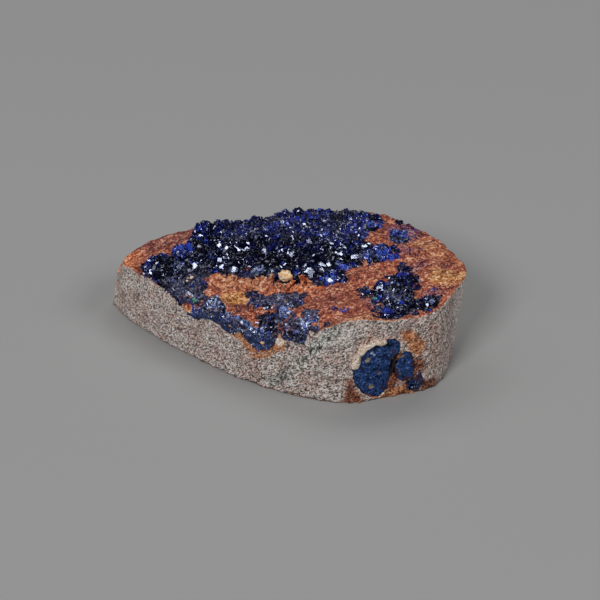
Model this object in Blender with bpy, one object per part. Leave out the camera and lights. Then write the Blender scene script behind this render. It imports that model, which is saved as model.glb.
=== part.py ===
"""Azurite on sandstone, a freeform slab with a natural crystal-covered top.

Metres, +Z up. +X is the wide end, -X the narrow tip and -Y the ground front wall.
The origin is in the middle of the footprint, on the sawn base.
"""

import math
import random

import bmesh
import bpy
from mathutils import Matrix, Vector, geometry, noise

# Driving dimensions, in millimetres.
MM = 0.001
GAP = 0.3                   # clearance between a crust and the stone that it grows on
OUTLINE_STEP = 1.05         # spacing of the points around the wall
OPEN_STEP = 1.2             # spacing of the points on the bare top
HIDDEN_STEP = 2.2           # spacing of the points under the crusts
WALL_RINGS = (0.03, 0.35, 0.68)  # heights of the wall's rings, as shares of the stone's height
WALL_WAVE = 0.12            # how far the ground wall is out of true
RIM_JAG = 0.35              # how far the rim goes up and down over a few millimetres
EDGE_WEAR = 0.2             # how far the bottom edge is worn back
DRUSE_RISE = 1.0            # how far the stone under the main druse stands over the rest
STEP_WIDTH = 1.1            # width of the slope in front of the main druse
FRONT_DROP = 0.5            # how far the front step lies under the line from rim to rim
LEDGE = 0.4                 # height of the low ledges
POCKET = (-6.8, -3.7, 2.4, 2.0, 0.9)  # the golden pocket: plan place, half widths and depth
SEAT_SLOPE = 0.9            # width of the slope around a crust's seat
SEAT_DEPTH = 0.5            # how deep a thin crust sits in the stone
SHEET_ROOT = 1.5            # how far a crust reaches below its seat before the stone cuts it
CRUST_COVER = 0.45          # how far a crust stands over the stone around it, between its crystals

# The ground wall, counterclockwise from the tip, seen from above:
# x and y of the bottom edge, height of the rim over it, and how far the rim leans out.
WALL = (
    (-25.4, 9.2, 5.2, -0.9), (-24.7, 7.2, 6.1, -0.7), (-23.8, 5.6, 8.2, -0.3),
    (-22.6, 4.0, 9.2, 0.0), (-16.9, -1.9, 9.4, 0.0), (-13.5, -4.7, 7.4, 0.0),
    (-9.9, -7.8, 8.9, 0.0), (-4.7, -11.4, 8.0, 0.0), (-0.4, -13.8, 8.9, 0.0),
    (3.1, -15.2, 10.1, 0.0), (7.1, -16.2, 13.0, 0.0), (10.6, -16.2, 13.6, 0.0),
    (13.8, -15.2, 12.8, 0.1), (15.6, -14.6, 12.4, 0.1), (19.6, -13.3, 12.8, 0.1),
    (21.6, -11.6, 13.4, 0.2), (23.0, -7.8, 13.2, 0.6), (24.1, -3.5, 13.2, 1.2),
    (23.3, 0.7, 13.1, 0.7), (21.0, 6.2, 12.9, 0.3), (14.8, 13.6, 12.1, 0.2),
    (11.0, 15.9, 11.5, 0.0), (4.5, 16.4, 10.9, 0.0), (-5.1, 15.4, 10.2, 0.0),
    (-13.1, 14.2, 9.7, 0.0), (-18.3, 12.5, 9.0, 0.0), (-22.8, 11.1, 7.4, -0.5),
)

# Plan outlines of the crusts, counterclockwise, with the length and spacing of their crystals.
# An outline that passes over the wall is cut off there with the stone, and its seat is deep.
CRUSTS = {
    "druse_main": {
        "outline": ((-20.2, 1.4), (-18.4, -0.8), (-16.2, -2.4), (-14.0, -3.6), (-12.6, -4.4),
                    (-11.2, -2.4), (-11.2, 0.4), (-9.0, 1.4), (-2.6, -0.4), (-1.4, -2.2),
                    (1.4, -3.2), (5.0, -4.3), (7.4, -4.7), (9.0, -2.8), (10.4, -0.5),
                    (15.4, -0.4), (15.8, 2.5), (12.2, 4.2), (11.6, 7.0), (14.0, 10.2),
                    (13.2, 12.8), (11.0, 14.9), (4.6, 15.6), (-5.0, 14.7), (-12.0, 13.4),
                    (-13.2, 12.0), (-13.0, 9.6), (-15.4, 9.2), (-16.4, 7.0), (-20.0, 6.0)),
        "crystal": (1.8, 2.8),
        "spacing": 2.45,
        "seat": SEAT_DEPTH,
    },
    "crust_front_left": {
        "outline": ((-12.6, -5.0), (-13.6, -7.0), (-10.6, -9.6), (-5.4, -13.4), (-1.2, -15.6),
                    (-0.8, -12.6), (-1.3, -10.6), (-2.9, -9.2), (-4.8, -8.7), (-6.4, -7.4),
                    (-8.0, -7.2), (-8.6, -4.2), (-10.3, -3.1), (-11.4, -4.4)),
        "crystal": (1.4, 2.0),
        "spacing": 1.7,
        "seat": 2.6,
    },
    "crust_middle": {
        "outline": ((-5.2, -4.2), (-4.6, -6.0), (-3.2, -6.6), (-2.0, -6.2), (-1.3, -7.2),
                    (-1.5, -9.4), (-0.2, -10.4), (1.1, -9.8), (1.4, -8.3), (2.6, -7.8),
                    (3.0, -6.0), (2.9, -4.8), (1.0, -4.2), (-0.9, -3.9), (-1.8, -4.0),
                    (-2.6, -3.0), (-3.6, -2.4), (-4.6, -2.9)),
        "crystal": (1.4, 2.0),
        "spacing": 1.7,
        "seat": SEAT_DEPTH,
    },
    "crust_front_middle": {
        "outline": ((0.2, -13.0), (-0.1, -15.6), (3.4, -16.8), (4.6, -15.2), (4.9, -12.6),
                    (4.4, -10.8), (3.2, -9.9), (2.1, -10.1), (1.4, -11.6)),
        "crystal": (1.4, 2.0),
        "spacing": 1.7,
        "seat": 1.4,
    },
    "crust_right": {
        "outline": ((10.2, -8.6), (11.8, -8.8), (13.1, -10.8), (12.7, -13.0), (12.2, -14.7),
                    (14.0, -14.4), (16.8, -13.6), (17.6, -12.4), (18.0, -8.4), (17.8, -4.6),
                    (16.2, -1.7), (14.6, -4.2), (12.4, -6.0), (10.0, -7.0)),
        "crystal": (1.5, 2.2),
        "spacing": 1.85,
        "seat": SEAT_DEPTH,
    },
    "crust_right_edge": {
        "outline": ((18.5, -12.6), (20.2, -11.9), (21.2, -10.9), (20.3, -10.0), (18.8, -10.4)),
        "crystal": (1.5, 2.1),
        "spacing": 1.3,
        "seat": SEAT_DEPTH,
    },
    "crust_back_right": {
        "outline": ((15.0, 9.0), (14.7, 7.2), (15.3, 5.8), (16.6, 5.2), (18.2, 6.0),
                    (18.6, 7.4), (17.6, 9.1), (16.0, 9.8)),
        "crystal": (1.1, 1.6),
        "spacing": 1.7,
        "seat": SEAT_DEPTH,
    },
}

# The tan grain on the front edge of the main druse: plan place and radius.
GRAIN = (0.1, -2.1, 0.9)

# Masses of azurite in the front right wall: their outlines, along the wall and up it.
WALL_NODULES = {
    "nodule_main": ((-2.9, 5.2), (-2.8, 3.5), (-1.9, 2.1), (-0.6, 1.1), (0.4, 0.7),
                    (1.5, 1.8), (1.8, 3.2), (1.7, 5.0), (2.0, 6.3), (3.1, 7.4),
                    (3.2, 8.6), (2.5, 9.3), (1.3, 9.7), (0.1, 9.1), (-1.1, 8.5),
                    (-2.4, 6.6)),
    "nodule_side": ((2.9, 5.0), (3.0, 3.4), (4.0, 2.6), (5.2, 3.0), (5.3, 5.0),
                    (4.8, 6.8), (4.0, 6.9)),
    "nodule_low": ((4.7, 1.9), (4.9, 0.9), (6.1, 0.8), (6.7, 2.0), (6.3, 3.3), (5.8, 2.6)),
}
NODULE_ORIGIN = (12.5, -15.55)      # plan place of the wall's point from which they are laid out
NODULE_TURN = math.atan2(1.5, 5.4)  # direction of the wall there
NODULE_DEPTH = 1.2                  # how far they reach into the stone
NODULE_PROUD = 0.25                 # how far their middle stands over their rim


def smooth_step(value):
    """Ease a number from 0 to 1, held at both ends."""
    t = min(1.0, max(0.0, value))
    return t * t * (3.0 - 2.0 * t)


def closed_curve(stations, step):
    """Read a smooth closed curve through the stations, at even steps in plan."""
    count = len(stations)
    dense = []
    for i in range(count):
        a, b, c, d = (Vector(stations[(i + k - 1) % count]) for k in range(4))
        for j in range(20):
            t = j / 20
            dense.append(0.5 * (2 * b + (c - a) * t + (2 * a - 5 * b + 4 * c - d) * t * t
                                + (3 * b - 3 * c + d - a) * t ** 3))
    gaps = [(dense[i].xy - dense[i - 1].xy).length for i in range(len(dense))]
    pitch = sum(gaps) / round(sum(gaps) / step)
    points = []
    walked = 0.0
    for i, gap in enumerate(gaps):
        while walked + gap > len(points) * pitch + 1e-9:
            points.append(dense[i - 1].lerp(dense[i], (len(points) * pitch - walked) / gap))
        walked += gap
    return points


def edge_distance(x, y, outline):
    """Distance from a plan point to an outline, positive inside it."""
    inside = False
    nearest = 1e9
    here = Vector((x, y))
    for i, end in enumerate(outline):
        start = outline[i - 1]
        a = Vector(start[:2])
        b = Vector(end[:2])
        run = b - a
        t = min(1.0, max(0.0, (here - a).dot(run) / max(run.length_squared, 1e-12)))
        nearest = min(nearest, (a + run * t - here).length)
        if (a.y > y) != (b.y > y) and x < a.x + (y - a.y) * run.x / run.y:
            inside = not inside
    return nearest if inside else -nearest


RIM = closed_curve(WALL, OUTLINE_STEP)


def roughness(x, y, scale, seed):
    """Lumps of a given size, from -1 to 1."""
    return noise.noise(Vector((x / scale, y / scale, seed)))


def ground_height(x, y):
    """Height of the stone's natural top before the crusts' seats, in millimetres."""
    weight = 0.0
    total = 0.0
    for point in RIM:
        share = 1.0 / ((point.x - x) ** 2 + (point.y - y) ** 2 + 0.02) ** 1.3
        weight += share
        total += share * point.z
    rim_way = edge_distance(x, y, RIM)
    inward = smooth_step(rim_way / 3.5)
    druse = edge_distance(x, y, CRUSTS["druse_main"]["outline"])
    left = smooth_step((11.0 - x) / 8.0)
    height = total / weight
    height += DRUSE_RISE * inward * left * smooth_step(0.5 + druse / STEP_WIDTH)
    front = smooth_step((4.0 - x) / 6.0) * smooth_step((1.0 - y) / 4.0)
    height -= FRONT_DROP * inward * front
    # Rough lumps and low ledges, stronger away from the rim.
    height += (0.25 + 0.35 * inward) * roughness(x, y, 3.4, 1.7)
    height += 0.3 * inward * roughness(x, y, 1.6, 8.1)
    height += LEDGE * inward * smooth_step((roughness(x, y * 1.6, 4.5, 4.4) - 0.05) / 0.08)
    pocket_x, pocket_y, half_x, half_y, depth = POCKET
    way_out = math.hypot((x - pocket_x) / half_x, (y - pocket_y) / half_y)
    return height - depth * smooth_step(1.0 - way_out)


def seat_depth(x, y):
    """How deep the stone is hollowed under a crust."""
    return sum(crust["seat"] * smooth_step(edge_distance(x, y, crust["outline"]) / SEAT_SLOPE)
               for crust in CRUSTS.values())


def stone_height(x, y):
    """Height of the stone's natural top with the crusts' seats, in millimetres."""
    return ground_height(x, y) - seat_depth(x, y)


def plan_box(outline):
    """The lowest and highest plan coordinates of an outline."""
    xs = [p[0] for p in outline]
    ys = [p[1] for p in outline]
    return min(xs), min(ys), max(xs), max(ys)


def plan_points(outline, step_at, seed):
    """Scatter points inside an outline on a jittered grid of triangles."""
    draw = random.Random(seed)
    low_x, y, high_x, high_y = plan_box(outline)
    jitter = 0.28 * OPEN_STEP
    points = []
    row = 0
    while y < high_y:
        x = low_x + (row % 2) * OPEN_STEP / 2
        while x < high_x:
            px = x + draw.uniform(-jitter, jitter)
            py = y + draw.uniform(-jitter, jitter)
            step = step_at(px, py)
            if edge_distance(px, py, outline) > 0.55 * step:
                if all(math.hypot(px - q[0], py - q[1]) > 0.72 * step for q in points):
                    points.append((px, py))
            x += OPEN_STEP
        row += 1
        y += 0.87 * OPEN_STEP
    return points


def cap(mesh, loop, points, height, flip=False):
    """Close a loop of vertices with a triangulated sheet through the given plan points."""
    flat = [Vector((v.co.x, v.co.y)) for v in loop] + [Vector(p) for p in points]
    count = len(loop)
    edges = [(i, (i + 1) % count) for i in range(count)]
    where, _, faces, origins, _, _ = geometry.delaunay_2d_cdt(flat, edges, [], 1, 1e-6)
    vertices = []
    for i, place in enumerate(where):
        source = min(origins[i])
        if source < count:
            vertices.append(loop[source])
        else:
            vertices.append(mesh.verts.new((place.x, place.y, height(place.x, place.y))))
    for face in faces:
        corners = [vertices[i] for i in face]
        mesh.faces.new(corners[::-1] if flip else corners)


def make_object(name, mesh, colour, roughness_value):
    """Turn a mesh built in millimetres into a named object in metres, with its material."""
    bmesh.ops.recalc_face_normals(mesh, faces=mesh.faces)
    bmesh.ops.scale(mesh, vec=(MM, MM, MM), verts=mesh.verts)
    data = bpy.data.meshes.new(name)
    mesh.to_mesh(data)
    mesh.free()
    thing = bpy.data.objects.new(name, data)
    bpy.context.scene.collection.objects.link(thing)
    material = bpy.data.materials.new(name)
    material.use_nodes = True
    shader = material.node_tree.nodes["Principled BSDF"]
    shader.inputs["Base Color"].default_value = (*colour, 1.0)
    shader.inputs["Roughness"].default_value = roughness_value
    data.materials.append(material)
    return thing


def hide_cutter(thing):
    """Mark an object as a cutter, which is no part of the specimen."""
    thing.hide_render = True
    thing.display_type = "WIRE"
    return thing


def cut(thing, cutter, operation):
    """Add an exact Boolean to an object."""
    modifier = thing.modifiers.new(operation.title(), "BOOLEAN")
    modifier.operation = operation
    modifier.solver = "EXACT"
    modifier.use_self = operation == "UNION"
    modifier.object = cutter


def keep_largest_body(thing):
    """Apply an object's modifiers, and drop crumbs and sealed hollows between its crystals."""
    evaluated = thing.evaluated_get(bpy.context.evaluated_depsgraph_get())
    mesh = bmesh.new()
    mesh.from_mesh(evaluated.to_mesh())
    evaluated.to_mesh_clear()
    thing.modifiers.clear()
    waiting = set(mesh.verts)
    bodies = []
    while waiting:
        reached = {waiting.pop()}
        front = list(reached)
        while front:
            near = {e.other_vert(v) for v in front for e in v.link_edges} - reached
            reached |= near
            front = list(near)
        waiting -= reached
        bodies.append(reached)
    largest = max(bodies, key=len)
    bmesh.ops.delete(mesh, geom=[v for v in mesh.verts if v not in largest], context="VERTS")
    bmesh.ops.triangulate(mesh, faces=mesh.faces)
    mesh.to_mesh(thing.data)
    mesh.free()


def wall_ring(share, inset=0.0):
    """One ring of the ground wall, at a share of the stone's height there."""
    ring = []
    for i, point in enumerate(RIM):
        along = RIM[(i + 1) % len(RIM)].xy - RIM[i - 1].xy
        outward = Vector((along.y, -along.x)).normalized()
        reach = point.w * share - inset
        if 0.0 < share < 1.0:
            reach += WALL_WAVE * roughness(i * OUTLINE_STEP, 20 * share, 5.0, 2.2)
        place = point.xy + outward * reach
        height = point.z + RIM_JAG * roughness(place.x, place.y, 1.3, 5.0) - seat_depth(place.x, place.y)
        ring.append(Vector((place.x, place.y, height * share)))
    return ring


def make_stone():
    """The sandstone slab: sawn base, ground wall, natural top."""
    mesh = bmesh.new()
    loops = [[mesh.verts.new(place) for place in wall_ring(0.0, EDGE_WEAR)]]
    for share in (*WALL_RINGS, 1.0):
        loops.append([mesh.verts.new(place) for place in wall_ring(share)])
    count = len(RIM)
    for lower, upper in zip(loops, loops[1:]):
        for i in range(count):
            j = (i + 1) % count
            mesh.faces.new((lower[i], lower[j], upper[j], upper[i]))
    mesh.faces.new(loops[0][::-1])

    def step_at(x, y):
        covered = max(edge_distance(x, y, crust["outline"]) for crust in CRUSTS.values())
        return HIDDEN_STEP if covered > SEAT_SLOPE else OPEN_STEP

    rim = loops[-1]
    cap(mesh, rim, plan_points([v.co.xy for v in rim], step_at, 11), stone_height)
    bmesh.ops.triangulate(mesh, faces=mesh.faces, quad_method="BEAUTY", ngon_method="BEAUTY")
    return make_object("matrix", mesh, (0.32, 0.22, 0.19), 0.85)


def make_lifted_top(stone):
    """A cutter under the crusts: the stone's top raised by the gap, carried out past the wall and down."""
    mesh = bmesh.new()
    mesh.from_mesh(stone.data)
    bmesh.ops.scale(mesh, vec=(1 / MM, 1 / MM, 1 / MM), verts=mesh.verts)
    walls = [f for f in mesh.faces if f.normal.z < 0.05 or min(v.co.z for v in f.verts) < 4.0]
    bmesh.ops.delete(mesh, geom=walls, context="FACES")
    bmesh.ops.translate(mesh, vec=(0.0, 0.0, GAP), verts=mesh.verts)
    for spread, flatten in ((1.12, 1.0), (1.0, 0.0)):
        rim = [e for e in mesh.edges if e.is_boundary]
        grown = bmesh.ops.extrude_edge_only(mesh, edges=rim)["geom"]
        outer = [g for g in grown if isinstance(g, bmesh.types.BMVert)]
        bmesh.ops.scale(mesh, vec=(spread, spread, flatten), verts=outer)
    bmesh.ops.holes_fill(mesh, edges=[e for e in mesh.edges if e.is_boundary])
    bmesh.ops.triangulate(mesh, faces=mesh.faces)
    return hide_cutter(make_object("cutter_top", mesh, (0.5, 0.5, 0.5), 0.8))


def add_crystal(mesh, place, size, draw):
    """One blocky azurite crystal: a thick slab with both ends cut to slanting faces."""
    crystal = bmesh.new()
    bmesh.ops.create_cube(crystal, size=size)
    proportions = (1.0, draw.uniform(0.55, 0.8), draw.uniform(0.6, 0.85))
    bmesh.ops.scale(crystal, vec=proportions, verts=crystal.verts)
    for end in (-1.0, 1.0):
        normal = Vector((end, 0.0, draw.uniform(0.55, 0.9))).normalized()
        cutting = bmesh.ops.bisect_plane(
            crystal, geom=crystal.verts[:] + crystal.edges[:] + crystal.faces[:],
            plane_co=normal * size * draw.uniform(0.36, 0.44), plane_no=normal, clear_outer=True)
        rim = [part for part in cutting["geom_cut"] if isinstance(part, bmesh.types.BMEdge)]
        bmesh.ops.contextual_create(crystal, geom=rim)
    turn = Matrix.Rotation(draw.uniform(0.0, math.tau), 4, "Z")
    lean = Matrix.Rotation(draw.uniform(-0.75, 0.75), 4, "X")
    tip = Matrix.Rotation(draw.uniform(-0.6, 0.6), 4, "Y")
    bmesh.ops.transform(crystal, matrix=Matrix.Translation(place) @ turn @ lean @ tip, verts=crystal.verts)
    data = bpy.data.meshes.new("crystal")
    crystal.to_mesh(data)
    crystal.free()
    mesh.from_mesh(data)
    bpy.data.meshes.remove(data)


def crystal_places(outline, spacing, draw):
    """Scatter crystals over a crust, a little in from its edge."""
    low_x, low_y, high_x, high_y = plan_box(outline)
    places = []
    tries = int((high_x - low_x) * (high_y - low_y) / spacing ** 2 * 30)
    for _ in range(tries):
        x = draw.uniform(low_x, high_x)
        y = draw.uniform(low_y, high_y)
        if edge_distance(x, y, outline) < 0.3 * spacing:
            continue
        if all(math.hypot(x - q[0], y - q[1]) > 0.82 * spacing for q in places):
            places.append((x, y))
    return places


def make_wall_prism():
    """The space inside the ground wall, which cuts off the crusts with the stone."""
    mesh = bmesh.new()
    ring = [mesh.verts.new((place.x, place.y, -2.0)) for place in wall_ring(1.0)]
    face = mesh.faces.new(ring[::-1])
    grown = bmesh.ops.extrude_face_region(mesh, geom=[face])["geom"]
    top = [g for g in grown if isinstance(g, bmesh.types.BMVert)]
    bmesh.ops.translate(mesh, vec=(0.0, 0.0, 22.0), verts=top)
    bmesh.ops.triangulate(mesh, faces=mesh.faces)
    return hide_cutter(make_object("cutter_wall", mesh, (0.5, 0.5, 0.5), 0.8))


def make_grain():
    """The tan grain of limonite, and the hollow that it needs in the main druse."""
    x, y, radius = GRAIN
    place = Vector((x, y, ground_height(x, y) + CRUST_COVER + 0.75 * radius))
    for name, reach in (("limonite_grain", radius), ("cutter_grain", radius + 1.25 * GAP)):
        draw = random.Random(21)
        mesh = bmesh.new()
        bmesh.ops.create_icosphere(mesh, subdivisions=2, radius=reach)
        for vertex in mesh.verts:
            vertex.co *= 1.0 + draw.uniform(-0.1, 0.1)
        bmesh.ops.scale(mesh, vec=(1.05, 0.9, 0.85), verts=mesh.verts)
        bmesh.ops.translate(mesh, vec=place, verts=mesh.verts)
        grain = make_object(name, mesh, (0.55, 0.33, 0.13), 0.8)
    return hide_cutter(grain)


def make_crust(name, crust, cutters, seed):
    """One crust: a thin sheet on the stone with blocky crystals grown together on it."""
    draw = random.Random(seed)
    outline = crust["outline"]
    border = closed_curve([(x, y, 0.0) for x, y in outline], 1.15 * OPEN_STEP)
    sheet = bmesh.new()
    ring = []
    for point in border:
        x = point.x + 0.3 * roughness(point.x, point.y, 0.9, 3.0)
        y = point.y + 0.3 * roughness(point.x, point.y, 0.9, 9.0)
        ring.append((x, y))

    def sheet_top(x, y):
        return ground_height(x, y) + CRUST_COVER

    def sheet_bottom(x, y):
        return ground_height(x, y) - crust["seat"] - SHEET_ROOT

    top = [sheet.verts.new((x, y, sheet_top(x, y) - 0.3)) for x, y in ring]
    bottom = [sheet.verts.new((x, y, sheet_bottom(x, y))) for x, y in ring]
    for i in range(len(ring)):
        j = (i + 1) % len(ring)
        sheet.faces.new((bottom[i], bottom[j], top[j], top[i]))
    inner = plan_points(ring, lambda x, y: max(1.5, crust["spacing"]), seed)
    cap(sheet, top, inner, sheet_top)
    cap(sheet, bottom, [], sheet_bottom, flip=True)
    thing = make_object(name, sheet, (0.02, 0.04, 0.24), 0.3)
    crystals = bmesh.new()
    small, large = crust["crystal"]
    for x, y in crystal_places(outline, crust["spacing"], draw):
        way_in = smooth_step(edge_distance(x, y, outline) / 1.5)
        size = draw.uniform(small, large) * (0.75 + 0.25 * way_in)
        centre = sheet_top(x, y) + (draw.uniform(-0.2, 0.02) + 0.08 * way_in) * size
        add_crystal(crystals, Vector((x, y, centre)), size, draw)
    grown = hide_cutter(make_object("cutter_" + name, crystals, (0.02, 0.04, 0.24), 0.3))
    cut(thing, grown, "UNION")
    lifted_top, wall_prism, *hollows = cutters
    cut(thing, lifted_top, "DIFFERENCE")
    cut(thing, wall_prism, "INTERSECT")
    for hollow in hollows:
        cut(thing, hollow, "DIFFERENCE")
    keep_largest_body(thing)
    return thing


def wall_shape(outline, inner, outer, grow=0.0):
    """A block standing in the ground wall, with an outline laid out along the wall and up it."""
    mesh = bmesh.new()
    middle = sum((Vector(p) for p in outline), Vector((0.0, 0.0))) / len(outline)
    corners = []
    for s, z in outline:
        way = Vector((s, z)) - middle
        corners.append(middle + way * (1.0 + grow / way.length))
    back = [mesh.verts.new((s, inner, z)) for s, z in corners]
    front = [mesh.verts.new((s, outer, z)) for s, z in corners]
    for i in range(len(corners)):
        j = (i + 1) % len(corners)
        mesh.faces.new((back[i], back[j], front[j], front[i]))
    mesh.faces.new(back)
    face = mesh.faces.new(front)
    place = Matrix.Translation((*NODULE_ORIGIN, 0.0)) @ Matrix.Rotation(NODULE_TURN, 4, "Z")
    return mesh, face, place


def make_nodule(name, outline, stone):
    """One azurite mass in the wall, and the hollow in the stone that it fills."""
    hollow, _, place = wall_shape(outline, NODULE_DEPTH + GAP, -3.0, GAP)
    bmesh.ops.transform(hollow, matrix=place, verts=hollow.verts)
    cut(stone, hide_cutter(make_object("cutter_" + name, hollow, (0.5, 0.5, 0.5), 0.8)), "DIFFERENCE")
    mesh, face, place = wall_shape(outline, NODULE_DEPTH, -NODULE_PROUD * 0.4)
    bmesh.ops.inset_region(mesh, faces=[face], thickness=0.45, depth=NODULE_PROUD)
    bmesh.ops.transform(mesh, matrix=place, verts=mesh.verts)
    bmesh.ops.triangulate(mesh, faces=mesh.faces)
    return make_object(name, mesh, (0.05, 0.15, 0.35), 0.6)


def clear_scene():
    """Remove what the file opened with."""
    for thing in list(bpy.data.objects):
        bpy.data.objects.remove(thing, do_unlink=True)


clear_scene()
matrix = make_stone()
crust_cutters = [make_lifted_top(matrix), make_wall_prism()]
grain_hollow = make_grain()
for number, (crust_name, crust_shape) in enumerate(CRUSTS.items()):
    hollows = [grain_hollow] if crust_name == "druse_main" else []
    make_crust(crust_name, crust_shape, crust_cutters + hollows, 100 + number)
for nodule_name, nodule_outline in WALL_NODULES.items():
    make_nodule(nodule_name, nodule_outline, matrix)
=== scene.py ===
"""Looks of an azurite specimen: a ground slab of iron-stained sandstone with a crystal-covered top.

Metres, +Z up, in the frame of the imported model, which stands on its sawn base.
Meshes are worked on in millimetres and become metres when a piece is finished.
"""
import math
import random

import bmesh
import bpy
import numpy as np
from mathutils import Matrix, Vector, noise
from mathutils.bvhtree import BVHTree
from mathutils.kdtree import KDTree


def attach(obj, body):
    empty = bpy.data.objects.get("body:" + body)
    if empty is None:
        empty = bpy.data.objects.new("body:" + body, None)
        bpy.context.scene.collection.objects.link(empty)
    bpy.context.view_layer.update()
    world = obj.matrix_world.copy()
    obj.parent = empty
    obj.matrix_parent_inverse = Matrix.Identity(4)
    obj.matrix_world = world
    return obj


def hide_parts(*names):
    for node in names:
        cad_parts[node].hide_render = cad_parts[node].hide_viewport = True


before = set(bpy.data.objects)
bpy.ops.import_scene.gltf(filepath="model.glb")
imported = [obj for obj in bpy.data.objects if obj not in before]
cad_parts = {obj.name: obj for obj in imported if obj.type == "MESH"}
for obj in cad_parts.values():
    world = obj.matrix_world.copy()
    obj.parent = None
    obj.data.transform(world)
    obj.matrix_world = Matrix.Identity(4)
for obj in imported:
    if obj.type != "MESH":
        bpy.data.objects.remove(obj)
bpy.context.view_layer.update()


# The stone: a slab of fine quartz sandstone, broken off along its natural top.
# Its base is sawn and its wall is ground flat on a wheel, so both show the bare grey-pink grain,
# and iron oxides from the ground water have stained the top rust-brown, ochre and dark red.
MM = 0.001
RIM_SHARPNESS = 0.5      # faces whose normal points up more than this belong to the natural top
COARSE_STEP = 0.7        # longest edge of the top when its facets are smoothed away
FINE_STEP = 0.34         # longest edge of the finished stone
FINEST_STEP = 0.17       # the same around the masses of azurite in the wall and along its crack
TOP_RELIEF = 0.28        # height of the lumps on the natural top
STREAK_RELIEF = 0.16     # height of the finer ridges that run across it
GRAIN_RELIEF = 0.13      # height of the sand grains there
WALL_RELIEF = 0.02       # height of the ground grains in the wall
PIT_DEPTH = 0.35         # depth of the pits along the crack in the wall
RIND_PROUD = 0.55        # how far the cream rind stands out of the wall
LUMP_PROUD = 0.35        # height of the limonite crumbs beside the masses of azurite
HOLLOW_DEPTH = 0.5       # depth of the dark hollows in the wall
GRIND_TURN = math.radians(35)   # how the scratches of the wheel run in the wall, from the level
GRIND_LENGTH = 1.5       # how much longer the grains look along them
STREAK_TURN = math.radians(32)  # how the ridges run, from the X axis
STREAK_LENGTH = 2.5      # how much longer they are than wide
CRACK_FOOT = (-2.0, 0.5)  # where the crack starts, along X and up Z
CRACK_WAY = (0.61, 0.79)  # which way it runs up the front wall
CRACK_REACH = 1.3        # how far to either side of it the mesh is finest
CRACK_LEFT = -2.8        # where that ends on the left
MASSES_SPAN = (8.6, 19.6)  # from where to where along X the masses of azurite lie
MASSES_TOP = 11.0        # how high they reach

# A cell of the grain's pattern. The photograph shows it at about one pixel, so the real one may be finer.
GRAIN_SIZE = 0.21

# Stains of the natural top in plan, each with the mask that it paints, its strength and its soft edge.
TOP_STAINS = (
    ("orange", 1.0, 1.0, ((-25.4, 9.8), (-22.7, 11.0), (-20.7, 10.1), (-20.7, 4.9), (-21.6, 2.5),
        (-25.4, 4.4))),
    ("orange", 1.0, 0.5, ((0.4, -2.0), (2.6, -2.4), (5.2, -3.2), (5.4, -4.8), (2.4, -4.4), (0.2, -3.8))),
    ("orange", 0.7, 0.8, ((-3.0, -0.6), (-1.0, -1.6), (0.0, -3.2), (-1.6, -3.4), (-3.6, -1.8))),
    ("limonite", 1.0, 0.8, ((-9.2, -2.2), (-7.4, -1.2), (-5.2, -1.4), (-4.6, -3.4), (-6.6, -4.6),
        (-9.0, -4.0))),
    ("limonite", 0.85, 0.8, ((20.0, -3.2), (23.1, -2.7), (25.4, -3.7), (25.4, -6.4), (22.3, -7.1),
        (20.0, -6.7))),
    ("limonite", 0.5, 2.0, ((18.0, 8.6), (20.6, 6.4), (24.0, 0.0), (25.6, -4.0), (22.0, -1.0),
        (17.0, 4.0))),
    ("limonite", 0.8, 1.0, ((-15.6, -3.4), (-14.0, -4.9), (-12.6, -6.4), (-12.4, -5.4), (-14.4, -2.6))),
    ("pale", 0.75, 1.2, ((-11.3, 2.7), (-6.2, 2.4), (-1.7, 0.9), (-1.2, -1.2), (-4.0, -1.8), (-6.1, -1.9),
        (-10.4, -1.4))),
    ("hematite", 0.9, 1.2, ((-22.1, 11.2), (-19.8, 12.6), (-13.1, 15.4), (-12.2, 10.4), (-16.6, 8.4),
        (-20.2, 8.8))),
    ("hematite", 0.7, 2.0, ((2.0, -5.6), (8.0, -5.4), (9.0, -10.0), (4.6, -10.2), (3.4, -7.6))),
    ("hematite", 0.5, 1.6, ((9.8, 13.6), (14.4, 13.0), (17.4, 11.6), (14.4, 9.8), (12.2, 11.0))),
    ("hematite", 0.55, 1.4, ((18.6, -1.0), (22.0, 0.6), (22.6, -2.4), (19.0, -3.4))),
    ("hematite", 1.0, 0.5, ((-7.3, -5.0), (-5.4, -4.4), (-4.7, -6.0), (-6.4, -6.5))),
    ("hematite", 0.9, 0.5, ((5.0, -14.2), (5.9, -13.7), (6.9, -14.3), (6.8, -15.4), (5.2, -15.6))),
    ("pale", 0.8, 0.7, ((5.6, -16.8), (10.6, -16.8), (16.4, -15.4), (16.0, -13.8), (10.4, -15.4),
        (5.4, -15.4))),
    ("azurite", 0.55, 0.8, ((14.8, 10.2), (16.4, 11.4), (19.2, 10.0), (19.8, 7.2), (18.0, 5.4),
        (15.2, 6.2))),
    ("azurite", 0.5, 1.0, ((15.2, 3.4), (17.0, 4.2), (18.8, 3.0), (18.6, 1.6), (15.6, 1.0))),
    ("azurite", 0.4, 1.0, ((17.2, -0.6), (19.6, -0.8), (20.4, -2.4), (18.6, -3.4), (17.0, -2.6))),
    ("azurite", 0.4, 0.9, ((22.2, -1.2), (23.6, -1.4), (23.6, -2.6), (22.2, -2.6))),
    ("azurite", 0.45, 1.0, ((18.6, -7.6), (21.4, -7.6), (22.4, -9.6), (20.4, -10.2), (18.4, -9.4))),
    ("azurite", 0.5, 0.9, ((10.6, -9.2), (12.8, -9.4), (13.2, -12.6), (11.4, -13.4), (10.8, -11.0))),
)

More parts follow.
